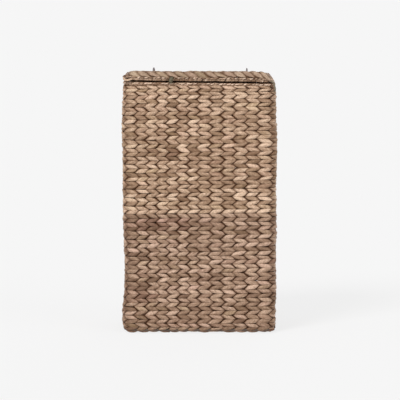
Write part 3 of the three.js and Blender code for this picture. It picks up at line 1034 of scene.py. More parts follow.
@dataclass
class Weaver:
    """Lays rows of stitches on a surface, two strands to a row."""

    surface: Surface
    stitch: Stitch
    seams: np.ndarray
    closed: bool
    rng: np.random.Generator
    lean: Waver | None = None
    ride: Waver | None = None
    lean_size: float = 0.0
    ride_size: float = 0.0
    corners: Plan | None = None
    patches: tuple[Patch, ...] = ()

    OVERLAP = 0.15 * MM
    CORNER_SPREAD = 11 * MM
    CORNER_OUT = 0.8 * MM
    CORNER_PINCH = 0.10
    CORNER_FLATTENING = 0.4
    # Painted shade at the corners, where the wall turns away from the light: darker tone and less bareness
    CORNER_SHADE_TONE = -0.2
    CORNER_SHADE_SHARE = 0.22
    CORNER_SHADE_POWER = 2.5
    PAIRING_SPREAD = 18 * MM
    CORNER_PAIRING = 0.4 * MM
    CLAMP_POWER = 8
    FOLD_POWER = 3
    STALK_CHANGE_START, STALK_CHANGE_LENGTH = 0.32, 0.36
    PATTERN_SHIFT_ALONG = 40
    PATTERN_SHIFT_ACROSS = 5

    def stitches(self) -> int:
        """How many stitches there are in a row."""
        return len(self.seams) - 1

    def stations(self) -> np.ndarray:
        """Places along a row, in stitches, closer together near the seams."""
        count = self.stitches() * self.stitch.steps
        at = np.arange(count + (0 if self.closed else 1)) / self.stitch.steps
        return at - self.stitch.crowding * np.sin(2 * np.pi * at) / (2 * np.pi)

    def drift(self, at: np.ndarray, size: float) -> np.ndarray:
        """Chance values that change smoothly from stitch to stitch.

        Args:
            at: Places along the row, in stitches.
            size: How much they stray.

        Returns:
            A value for each place.
        """
        stitches = self.stitches()
        values = np.clip(self.rng.normal(0, size, stitches), -2 * size, 2 * size)
        if self.closed:
            return np.interp(at, np.arange(-1, stitches + 1) + 0.5, [values[-1], *values, values[0]])
        return np.interp(at, np.arange(stitches) + 0.5, values)

    def colours(self, at: np.ndarray, row: Row) -> tuple[np.ndarray, np.ndarray]:
        """Tone and tint along one strand, which changes stalk every few stitches.

        Args:
            at: Places along the row, in stitches.
            row: The row, whose mood says how the colour wanders.

        Returns:
            The tones and the tints.
        """
        mood = row.mood
        stitches = self.stitches()
        stalk = np.cumsum(self.rng.random(stitches) < 1 / mood.patch_stitches)
        stalk_tone = self.rng.normal(0, mood.patch, stitches + 1)[stalk]
        stalk_tint = self.rng.normal(0, mood.tint_stray, stitches + 1)[stalk]
        tone = mood.tone + stalk_tone + self.rng.normal(0, mood.stray, stitches)
        tint = mood.tint + stalk_tint + self.rng.normal(0, mood.tint_stray / 3, stitches)
        middles = (self.seams[:-1] + self.seams[1:]) / 2
        for patch in self.patches:
            share = patch.share(middles, row.middle, self.seams[-1] - self.seams[0])
            tone = tone + patch.tone * share
            tint = tint + patch.tint * share
        before = np.floor(at - 0.5).astype(int)
        after = before + 1
        share = np.clip((at - 0.5 - before - self.STALK_CHANGE_START) / self.STALK_CHANGE_LENGTH, 0, 1)
        share = share * share * (3 - 2 * share)
        if self.closed:
            before, after = before % stitches, after % stitches
        else:
            before, after = np.clip(before, 0, stitches - 1), np.clip(after, 0, stitches - 1)
        return (
            tone[before] * (1 - share) + tone[after] * share,
            tint[before] * (1 - share) + tint[after] * share,
        )

    def course(self, at: np.ndarray, row: Row) -> tuple[np.ndarray, np.ndarray]:
        """The way that a strand goes along its row.

        Args:
            at: Places along the row, in stitches.
            row: The row.

        Returns:
            Distances along the surface and up it.
        """
        along = np.interp(at, np.arange(len(self.seams)), self.seams)
        along = along + self.drift(at, self.stitch.loose_along)
        middle = np.full_like(along, row.middle)
        if self.lean is not None:
            along = along + self.lean_size * self.lean.at(along, middle)
            middle = middle + self.ride_size * self.ride.at(along, middle)
        return along, middle

    def twist(
        self, at: np.ndarray, turn: np.ndarray, near: np.ndarray, row: Row
    ) -> tuple[np.ndarray, np.ndarray]:
        """How a strand goes in and out of its row and climbs across it.

        Args:
            at: Places along the row, in stitches.
            turn: How far the pair has turned there.
            near: How near the corner's middle is.
            row: The row.

        Returns:
            Distances out of the surface and up from the row's middle.
        """
        stitch = self.stitch
        swing = np.cos(turn) + stitch.overlap
        swing = signed_power(swing / (1 + stitch.overlap * np.sign(swing)), stitch.steepness)
        depth = stitch.depth * (1 - self.CORNER_PINCH * near) + self.drift(at, stitch.loose_out)
        out = stitch.middle_out + self.CORNER_OUT * near + depth * swing
        climb = stitch.climb * row.height * (1 - self.CORNER_FLATTENING * near)
        return out, row.slant.value * climb * np.sin(turn) + self.drift(at, stitch.loose_up)

    def section(self, at: np.ndarray, turn: np.ndarray, row: Row) -> tuple[np.ndarray, np.ndarray]:
        """The strand's cross sections: wide where it floats outside, narrow where it dives inside.

        Args:
            at: Places along the row, in stitches.
            turn: How far the pair has turned there.
            row: The row.

        Returns:
            Distances of the points of each section from its middle, in thickness and in height.
        """
        stitch = self.stitch
        size = row.height * (1 + self.drift(at, stitch.loose_size))
        floating = np.abs(np.cos(turn)) ** stitch.fullness
        height = size * (stitch.half_height_dive + (stitch.half_height - stitch.half_height_dive) * floating)
        extra = stitch.half_thickness - stitch.half_thickness_dive
        thickness = stitch.half_thickness_dive + extra * floating
        angle = full_turn(stitch.around)
        in_thickness = thickness[:, None] * signed_power(np.cos(angle), stitch.squareness)
        in_height = height[:, None] * signed_power(np.sin(angle), stitch.squareness)
        return in_thickness, in_height

    def bareness(self, out: np.ndarray, across: np.ndarray, corner_shade: np.ndarray, row: Row) -> np.ndarray:
        """How open each point lies, which sets its painted shade: 1 on a stitch's crest, 0 deep between the
        strands.

        Args:
            out: Distances out of the surface.
            across: Distances up from the row's middle.
            corner_shade: How much painted shade a corner gives the strand, where the wall turns away.
            row: The row.

        Returns:
            The bareness.
        """
        stitch = self.stitch
        # The less bare a point, the more of the deep brown painted shade its material lays on it
        bare = np.abs(out - stitch.middle_out) / (stitch.depth + stitch.half_thickness)
        # inner_fold paints shade on the half of the row towards its inner edge
        folded = stitch.inner_fold * np.clip(-2 * across / row.height, 0, 1) ** self.FOLD_POWER
        return bare * (1 - self.CORNER_SHADE_SHARE * corner_shade) * (1 - folded)

    def strand(self, mesh: StrandMesh, row: Row, which: int) -> None:
        """Lays one of a row's two strands.

        Args:
            mesh: What the strand is added to.
            row: The row.
            which: 0 or 1, for the strand that is outside at the first stake or the other one.
        """
        at = self.stations()
        turn = np.pi * (at - 0.5 + which)
        along, middle = self.course(at, row)
        near, paired = np.zeros_like(at), np.zeros_like(at)
        if self.corners:
            near = self.corners.corner_nearness(along, self.CORNER_SPREAD)
            paired = self.corners.corner_nearness(along, self.PAIRING_SPREAD)
        out, up = self.twist(at, turn, near, row)
        in_thickness, in_height = self.section(at, turn, row)
        roll = self.drift(at, self.stitch.loose_roll)[:, None]
        out = out[:, None] + in_thickness * np.cos(roll) - in_height * np.sin(roll)
        up = up[:, None] + in_thickness * np.sin(roll) + in_height * np.cos(roll)
        limit = (row.height / 2 + self.OVERLAP) * (1 + self.drift(at, self.stitch.loose_room))[:, None]
        across = up / (1 + np.abs(up / limit) ** self.CLAMP_POWER) ** (1 / self.CLAMP_POWER)
        sheared = along[:, None] + row.slant.value * self.stitch.seam_slope * across
        across = across + row.slant.value * self.CORNER_PAIRING * paired[:, None]
        tone, tint = self.colours(at, row)
        # Painted shade at the corners: a darker tone here, and less bareness in bareness()
        corner_shade = near**self.CORNER_SHADE_POWER
        tone = tone + self.CORNER_SHADE_TONE * corner_shade
        shifted = along[:, None] + self.rng.uniform(0, self.PATTERN_SHIFT_ALONG)
        in_thickness = in_thickness + self.rng.uniform(0, self.PATTERN_SHIFT_ACROSS)
        in_height = in_height + self.rng.uniform(0, self.PATTERN_SHIFT_ACROSS)
        values = {
            "tone": np.broadcast_to(tone[:, None], across.shape),
            "tint": np.broadcast_to(tint[:, None], across.shape),
            "bareness": self.bareness(out, across, corner_shade[:, None], row),
            "strand_place": np.stack(np.broadcast_arrays(shifted, in_thickness, in_height), axis=-1),
        }
        grid = self.surface.place(sheared, middle[:, None] + across, out)
        mesh.add(grid, values, self.stitch.steps, self.closed)

    def row(self, mesh: StrandMesh, row: Row) -> None:
        """Lays both strands of a row."""
        for which in (0, 1):
            self.strand(mesh, row, which)


@dataclass(frozen=True)
class Wrap:
    """A flat strand wound round a hoop, turn beside turn.

    Only the share `inner_bareness` of its bareness is left on the hoop's inner side, so that it is painted
    darker there, as the basket's shade.
    """

    plan: Plan
    height: float
    pitch: float
    radius: float
    half_width: float
    half_thickness: float = 1.0 * MM
    loose_radius: float = 0.3 * MM
    loose_along: float = 1.3 * MM
    inner_bareness: float = 0.55
    steps: int = 14
    around: int = 8

    # The face against the hoop and the edges of each turn are less bare, and so get painted shade
    FACE_BARENESS, FACE_CONTRAST = 0.45, 0.5

    def wander(self, rng: np.random.Generator, turns: int, size: float) -> np.ndarray:
        """Chance values that change smoothly from turn to turn and close up.

        Args:
            rng: The source of chance.
            turns: How many turns there are.
            size: How much they stray.

        Returns:
            A value for each section.
        """
        values = np.clip(rng.normal(0, size, turns), -2 * size, 2 * size)
        at = np.arange(turns * self.steps) / self.steps
        return np.interp(at, np.arange(turns + 1), [*values, values[0]])

    def wind(self, mesh: StrandMesh, rng: np.random.Generator, mood: Mood) -> None:
        """Winds the strand.

        Args:
            mesh: What the strand is added to.
            rng: The source of chance.
            mood: How its colour wanders.
        """
        turns = round(self.plan.length() / self.pitch)
        count = turns * self.steps
        turn = 2 * np.pi * np.arange(count) / self.steps
        along = self.plan.length() * np.arange(count) / count + self.wander(rng, turns, self.loose_along)
        radius = self.radius + self.wander(rng, turns, self.loose_radius)
        centre_x, centre_y = self.plan.at(along, radius * np.cos(turn))
        path = np.stack([centre_x, centre_y, self.height + radius * np.sin(turn)], axis=-1)
        inner_x, inner_y = self.plan.at(along, 0 * along)
        outward = unit(path - np.stack([inner_x, inner_y, np.full(count, self.height)], axis=-1))
        way = np.roll(path, -1, axis=0) - np.roll(path, 1, axis=0)
        side = unit(np.cross(way, outward))
        angle = full_turn(self.around)
        thick = self.half_thickness * np.cos(angle)
        width = self.half_width * np.sin(angle)
        grid = path[:, None] + thick[:, None] * outward[:, None] + width[:, None] * side[:, None]
        tone = mood.tone + self.wander(rng, turns, mood.stray) + self.wander(rng, turns, mood.patch)
        tint = mood.tint + self.wander(rng, turns, mood.tint_stray)
        run = radius[:, None] * turn[:, None]
        # Painted shade on the hoop's inner side
        outside = (0.5 + 0.5 * np.cos(turn)[:, None]) ** 2
        faded = self.inner_bareness + (1 - self.inner_bareness) * outside
        values = {
            "tone": np.broadcast_to(tone[:, None], grid.shape[:2]),
            "tint": np.broadcast_to(tint[:, None], grid.shape[:2]),
            "bareness": (self.FACE_BARENESS + self.FACE_CONTRAST * np.cos(angle)) * faded,
            "strand_place": np.stack(np.broadcast_arrays(run, thick, width), axis=-1),
        }
        mesh.add(grid, values, self.steps, True)


def dress(
    piece: bpy.types.Object, body: str, replaced: list[str] | None = None
) -> bpy.types.Object:
    """Fixes a piece to its body and the solids that it stands for.

    Args:
        piece: The piece.
        body: The body that it rides on.
        replaced: Names of the solids that it stands for.

    Returns:
        The piece.
    """
    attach(piece, body)
    if replaced:
        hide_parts(*replaced)
    return piece


SIDES = ("front", "right", "back", "left")


def on_each_side(pattern: str) -> list[str]:
    """Names of the solids on all four sides."""
    return [pattern.format(side) for side in SIDES]


def axis_height(node: str) -> float:
    """The height of the middle of a solid."""
    low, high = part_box(node)
    return (low.z + high.z) / 2


def ring_x(side: str) -> float:
    """How far to the right the hinge ring of a side is, where it has slid to."""
    low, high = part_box("hinge_ring_" + side)
    return (low.x + high.x) / 2 + RING_PLACES[side][0] * MM


# Sub-assemblies


@dataclass
class RodFrame:
    """The steel skeleton: four hoops, four posts, two rods each across base and lid, and two wire rings."""

    plan: Plan
    rim_sag: Sag
    lid_sag: Sag
    crown: Crown
    rod_radius: float = HOOP_ROD_RADIUS
    post_radius: float = 3 * MM
    wire_radius: float = 1.5 * MM
    sides: int = 16
    hoop_steps: int = 240
    rod_stops: int = 49
    ring_steps: int = 96

    CELLS = 8

    def tube(
        self,
        name: str,
        line: np.ndarray,
        radius: float,
        closed: bool,
        material: bpy.types.Material,
        sag: Sag | None = None,
    ) -> bpy.types.Object:
        """Makes a rod that follows a line.

        Args:
            name: The piece's name.
            line: Points along its middle.
            radius: Its radius.
            closed: Whether its end joins its start.
            material: What it is made of.
            sag: How it has sunk, if it has.

        Returns:
            The rod.
        """
        ahead = np.roll(line, -1, axis=0) if closed else np.concatenate([line[1:], line[-1:]])
        behind = np.roll(line, 1, axis=0) if closed else np.concatenate([line[:1], line[:-1]])
        way = unit(ahead - behind)
        # Either axis will do, as long as the rod nowhere runs along it
        spare = np.array([1.0, 0, 0]) if abs(way[:, 0]).max() < 0.5 else np.array([0, 0, 1.0])
        side = unit(np.cross(way, spare))
        other = np.cross(side, way)
        angle = full_turn(self.sides)[None, :, None]
        ring = np.cos(angle) * side[:, None] + np.sin(angle) * other[:, None]
        mesh = StrandMesh(name)
        mesh.add(line[:, None] + radius * ring, {}, max(1, len(line) // self.CELLS), closed)
        return mesh.finish(material, sag)

    def hoop_line(self, node: str) -> np.ndarray:
        """The middle line of a hoop, at the height of its solid."""
        along = np.linspace(0, self.plan.length(), self.hoop_steps, endpoint=False)
        x, y = self.plan.at(along, np.zeros_like(along))
        return np.stack([x, y, np.full_like(x, axis_height(node))], axis=-1)

    def straight_line(self, node: str) -> np.ndarray:
        """The middle line of a straight rod, from its solid's box."""
        low, high = (np.array(corner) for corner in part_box(node))
        longest = int(np.argmax(high - low))
        start, end = (low + high) / 2, (low + high) / 2
        start[longest], end[longest] = low[longest], high[longest]
        return np.linspace(start, end, self.rod_stops)

    def ring_line(self, side: str) -> np.ndarray:
        """The middle line of a hinge ring, where it has slid and twisted to."""
        slide, lift, twist = RING_PLACES[side]
        low, high = (np.array(corner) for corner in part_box("hinge_ring_" + side))
        centre = (low + high) / 2 + [slide * MM, 0, lift * MM]
        radius = (high[2] - low[2]) / 2 - self.wire_radius
        level = np.array([math.sin(math.radians(twist)), math.cos(math.radians(twist)), 0])
        angle = full_turn(self.ring_steps)[:, None]
        return centre + radius * (np.cos(angle) * level + np.sin(angle) * np.array([0, 0, 1]))

    def build(self) -> None:
        """Makes every rod and ring."""
        steel = FRAME_STEEL.make()
        wire = RING_STEEL.make()
        hoops = (
            ("base_hoop", "basket", None),
            ("seam_hoop", "basket", None),
            ("rim_hoop", "basket", self.rim_sag),
            ("lid_hoop", "lid", self.lid_sag),
        )
        for node, body, sag in hoops:
            piece = self.tube(node + "_rod", self.hoop_line(node), self.rod_radius, True, steel, sag)
            dress(piece, body, [node])
        for post in ("front_left", "front_right", "back_right", "back_left"):
            node = "post_" + post
            piece = self.tube(node + "_rod", self.straight_line(node), self.post_radius, False, steel)
            dress(piece, "basket", [node])
        for side in ("left", "right"):
            node = "base_bar_" + side
            piece = self.tube(node + "_rod", self.straight_line(node), self.rod_radius, False, steel)
            dress(piece, "basket", [node])
            node = "lid_brace_" + side
            line = self.crown.bow(self.straight_line(node))
            piece = self.tube(node + "_rod", line, self.rod_radius, False, steel, self.lid_sag)
            dress(piece, "lid", [node])
        for side in ("left", "right"):
            node = "hinge_ring_" + side
            piece = self.tube(node + "_wire", self.ring_line(side), self.wire_radius, True, wire)
            dress(piece, "hinge_rings", [node])
        log.info("rod frame: 4 hoops, 4 posts, 4 cross rods and 2 rings")


@dataclass
class WovenWalls:
    """The basket's twined walls: 32 rows above the seam and 29 below it, round 44 stakes."""

    plan: Plan
    rim_sag: Sag
    rows_above: int = 32
    rows_below: int = 29
    tight_rows: int = 3
    tight_share: float = 0.80
    stakes: int = 44
    first_seam: float = -2.7 * MM
    close_stitches: int = 7
    close_spacing: float = 23.8 * MM
    wide_stitches: int = 6
    wide_spacing: float = 27.85 * MM
    face: float = 7.4 * MM
    bulge: float = 2.0 * MM
    foot_height: float = 19 * MM
    foot_tuck: float = 15.5 * MM
    last_row_height: float = 4.4 * MM
    shoulder: float = 1.6 * MM
    tuck_under_rim: float = 0.8 * MM
    seam_rise: float = 3.0 * MM
    rows_per_piece: int = 8
    row_tone: float = 0.54
    row_tone_stray: float = 0.04
    last_upper_row_paler: float = 0.14
    below_seam_darker: float = 0.1
    dark_rows_below_seam: int = 5
    # The rows are painted darker towards the foot, and the two lowest darker still, as painted shade
    lower_tone: float = 0.6
    foot_shade_tone: float = 0.5
    rolled_under_shade_tone: float = 0.3
    eye_up: float = 1.8 * MM
    eye_down: float = 10 * MM
    eye_half_width: float = 8 * MM
    eye_reach: float = 20 * MM
    waves: int = 10
    lean_size: float = 1.3 * MM
    lean_wave: float = 120 * MM
    ride_size: float = 0.5 * MM
    ride_wave: float = 150 * MM
    stake_foot: float = 4 * MM
    stake_top: float = 582 * MM
    stake_half_width: float = 3.0 * MM
    stake_half_depth: float = 2.0 * MM
    stake_sides: int = 8
    stake_stops: int = 121
    stake_cell: int = 10
    stake_tone: float = 0.35
    stake_tint: float = 0.5
    # Low bareness gives the stakes, deep in the weave, most of the strand's painted shade
    stake_bareness: float = 0.25
    stitch: Stitch = Stitch(
        depth=4.3 * MM,
        climb=0.17,
        half_height=0.68,
        half_height_dive=0.36,
        half_thickness=2.3 * MM,
        half_thickness_dive=1.5 * MM,
        middle_out=0.8 * MM,
    )

    def seams(self) -> np.ndarray:
        """Distances round the basket at which each stitch ends and the next begins.

        The stakes stand closer on the left of the front than on the right.
        """
        close = np.full(self.close_stitches, self.close_spacing)
        wide = np.full(self.wide_stitches, self.wide_spacing)
        front = np.concatenate([close, wide])
        others = self.stakes - len(front)
        rest = (self.plan.length() - front.sum()) / others
        steps = np.concatenate([front, np.full(others, rest)])
        return self.first_seam + np.concatenate([[0.0], np.cumsum(steps)])

    def surface(self) -> WallSurface:
        """The sheet that the walls lie on, with eyes for the hinge rings."""
        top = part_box("wall_front_upper")[1].z + self.tuck_under_rim
        eyes = []
        for side in ("left", "right"):
            along = self.plan.back_middle() - ring_x(side)
            level = self.row_edges(top)[1]
            eyes.append(Eye(along, level, self.eye_up, self.eye_down, self.eye_half_width, self.eye_reach))
        return WallSurface(
            plan=self.plan,
            top=top,
            face=self.face,
            bulge=self.bulge,
            foot_height=self.foot_height,
            foot_tuck=self.foot_tuck,
            shoulder=self.shoulder,
            rim_sag=self.rim_sag,
            eyes=tuple(eyes),
        )

    def row_edges(self, top: float) -> np.ndarray:
        """Heights of the rows' edges above the seam, from the rim down."""
        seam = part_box("wall_front_lower")[1].z + self.seam_rise
        shares = np.ones(self.rows_above)
        shares[: self.tight_rows] = self.tight_share
        return top - (top - seam) * np.concatenate([[0.0], np.cumsum(shares)]) / shares.sum()

    def rows(self, surface: WallSurface, rng: np.random.Generator) -> tuple[list[Row], list[Row]]:
        """All the rows, from the rim down.

        Args:
            surface: The sheet that they lie on.
            rng: The source of chance.

        Returns:
            The rows above the seam and those below it.
        """
        upper_edges = self.row_edges(surface.top)
        seam = upper_edges[-1]
        last = surface.level_of(self.last_row_height)
        lower_edges = np.concatenate([np.linspace(seam, last, self.rows_below), [surface.lowest()]])
        upper_tones = self.row_tone + rng.normal(0, self.row_tone_stray, self.rows_above)
        upper_tones[-1] = self.row_tone + self.last_upper_row_paler
        # Painted shade: darker towards the foot, darkest on the two lowest rows, which roll in under the
        # basket
        lower_tones = np.linspace(self.lower_tone, self.foot_shade_tone, self.rows_below)
        lower_tones = lower_tones + rng.normal(0, self.row_tone_stray, self.rows_below)
        lower_tones[: self.dark_rows_below_seam] = self.row_tone - self.below_seam_darker
        lower_tones[-2:] = self.rolled_under_shade_tone
        upper = self.stack(upper_edges, upper_tones)
        lower = self.stack(lower_edges, lower_tones)
        return upper, lower

    def stack(self, edges: np.ndarray, tones: np.ndarray) -> list[Row]:
        """Rows one under the other, whose stitches slant one way and the other by turns.

        Args:
            edges: Heights of their edges, from the top down.
            tones: The tone of each.

        Returns:
            The rows.
        """
        lines = zip(edges[:-1], edges[1:], tones)
        return [Row((a + b) / 2, a - b, SLANTS[i % 2], Mood(tone=t)) for i, (a, b, t) in enumerate(lines)]

    def patches(self, surface: WallSurface) -> tuple[Patch, ...]:
        """The patches of other shades on the front."""
        made = []
        for x, height, half_width, half_height, tone, tint in FRONT_PATCHES:
            along = self.plan.front_middle() + x * MM
            up = surface.level_of(height * MM)
            made.append(Patch(along, up, half_width * MM, half_height * MM, tone, tint))
        return tuple(made)

    def build(self, rng: np.random.Generator) -> None:
        """Weaves the walls and sets the stakes in them."""
        surface = self.surface()
        seams = self.seams()
        lean = Waver.make(rng, self.plan.length(), self.waves, self.lean_wave)
        ride = Waver.make(rng, self.plan.length(), self.waves, self.ride_wave)
        weaver = Weaver(
            surface=surface,
            stitch=self.stitch,
            seams=seams,
            closed=True,
            rng=rng,
            lean=lean,
            ride=ride,
            lean_size=self.lean_size,
            ride_size=self.ride_size,
            corners=self.plan,
            patches=self.patches(surface),
        )
        upper, lower = self.rows(surface, rng)
        lots = (
            ("upper", upper, HYACINTH.make(), "hyacinth", ["wall_{}_upper"]),
            ("lower", lower, SHADED_HYACINTH.make(), "shaded_hyacinth", ["wall_{}_lower", "border_{}"]),
        )
        for lot, rows, material, slot, patterns in lots:
            replaced = [name for pattern in patterns for name in on_each_side(pattern)]
            for first in range(0, len(rows), self.rows_per_piece):
                mesh = StrandMesh(f"wall_rows_{lot}_{first // self.rows_per_piece + 1}")
                for row in rows[first : first + self.rows_per_piece]:
                    weaver.row(mesh, row)
                dress(mesh.finish(material), "basket", replaced)
        self.build_stakes(surface, seams, lean)

    def build_stakes(self, surface: WallSurface, seams: np.ndarray, lean: Waver) -> None:
        """Sets the upright stakes that the rows are twisted round.

        Args:
            surface: The sheet that they stand in.
            seams: Distances round the basket at which the stitches meet.
            lean: How the stakes lean.
        """
        mesh = StrandMesh("wall_stakes")
        heights = np.linspace(surface.lowest() + self.stake_foot, self.stake_top, self.stake_stops)
        angle = full_turn(self.stake_sides)
        for middle in (seams[:-1] + seams[1:]) / 2:
            along = middle + self.lean_size * lean.at(middle, heights)
            around = along[:, None] + self.stake_half_width * np.sin(angle)
            out = self.stitch.middle_out + self.stake_half_depth * np.cos(angle)
            up, around, out = np.broadcast_arrays(heights[:, None], around, out)
            values = {
                "tone": np.full(up.shape, self.stake_tone),
                "tint": np.full(up.shape, self.stake_tint),
                "bareness": np.full(up.shape, self.stake_bareness),
                "strand_place": np.stack([up, around, out], axis=-1),
            }
            mesh.add(surface.place(around, up, out), values, self.stake_cell, False)
        dress(mesh.finish(SHADED_HYACINTH.make()), "basket")


@dataclass(frozen=True)
class Cord:
    """A thin pair of strands twisted together, which runs round the basket beside a hoop."""

    plan: Plan
    height: float
    row_height: float
    out: float
    stitch_length: float = 9.6 * MM
    depth: float = 1.7 * MM
    half_thickness: float = 1.1 * MM

    def lay(self, mesh: StrandMesh, rng: np.random.Generator, mood: Mood) -> None:
        """Lays the cord.

        Args:
            mesh: What its strands are added to.
            rng: The source of chance.
            mood: How its colour wanders.
        """
        stitch = Stitch(
            depth=self.depth,
            climb=0.16,
            half_height=0.50,
            half_height_dive=0.24,
            half_thickness=self.half_thickness,
            half_thickness_dive=0.8 * self.half_thickness,
            middle_out=self.out,
            steps=8,
            around=8,
            steepness=0.9,
            overlap=-0.1,
            loose_out=0.3 * MM,
            loose_up=0.4 * MM,
            loose_along=1.8 * MM,
            loose_size=0.24,
        )
        stitches = 2 * round(self.plan.length() / self.stitch_length / 2)
        weaver = Weaver(
            surface=UprightSurface(self.plan),
            stitch=stitch,
            seams=np.linspace(0, self.plan.length(), stitches + 1),
            closed=True,
            rng=rng,
        )
        weaver.row(mesh, Row(self.height, self.row_height, Slant.RISING, mood))


@dataclass
class RimBinding:
    """The rim's hoop, wrapped turn by turn, with a thin pale cord along its outside."""

    plan: Plan
    sag: Sag
    cord_rise: float = 1.7 * MM
    cord_height: float = 3.5 * MM
    cord_out: float = 4.0 * MM
    cord_mood: Mood = Mood(tone=0.76, stray=0.2, patch=0.14, tint_stray=0.14, patch_stitches=9)
    wrap_pitch: float = 9.6 * MM
    wrap_radius: float = 3.3 * MM
    wrap_half_width: float = 5.5 * MM
    wrap_mood: Mood = Mood(tone=0.2)

    def build(self, rng: np.random.Generator) -> None:
        """Binds the rim."""
        axis = axis_height("rim_hoop")
        pale = BINDING_STRAND.make()
        wraps = StrandMesh("rim_wraps")
        wrap = Wrap(
            plan=self.plan,
            height=axis,
            pitch=self.wrap_pitch,
            radius=self.wrap_radius,
            half_width=self.wrap_half_width,
            loose_along=0.6 * MM,
        )
        wrap.wind(wraps, rng, self.wrap_mood)
        dress(wraps.finish(pale, self.sag), "basket", on_each_side("rim_binding_{}"))
        mesh = StrandMesh("rim_cord")
        cord = Cord(self.plan, axis + self.cord_rise, self.cord_height, self.cord_out)
        cord.lay(mesh, rng, self.cord_mood)
        dress(mesh.finish(pale, self.sag), "basket")


@dataclass(frozen=True)
class MatRows:
    """The rows of a mat, laid from front to back, and the stitches along them."""

    half_length: float
    half_depth: float
    row_height: float
    stitch_length: float

    def number(self) -> int:
        """How many rows there are."""
        return round(2 * self.half_depth / self.row_height)

    def pitch(self) -> float:
        """The distance from row to row."""
        return 2 * self.half_depth / self.number()

    def weave(
        self, mesh: StrandMesh, surface: Surface, stitch: Stitch, rng: np.random.Generator, mood: Mood
    ) -> None:
        """Weaves the rows.

        Args:
            mesh: What the strands are added to.
            surface: The sheet that they lie on.
            stitch: Their stitches.
            rng: The source of chance.
            mood: How their colour wanders.
        """
        stitches = round(2 * self.half_length / self.stitch_length)
        seams = np.linspace(-self.half_length, self.half_length, stitches + 1)
        weaver = Weaver(surface=surface, stitch=stitch, seams=seams, closed=False, rng=rng)
        for i in range(self.number()):
            middle = -self.half_depth + (i + 0.5) * self.pitch()
            weaver.row(mesh, Row(middle, self.pitch(), SLANTS[i % 2], mood))


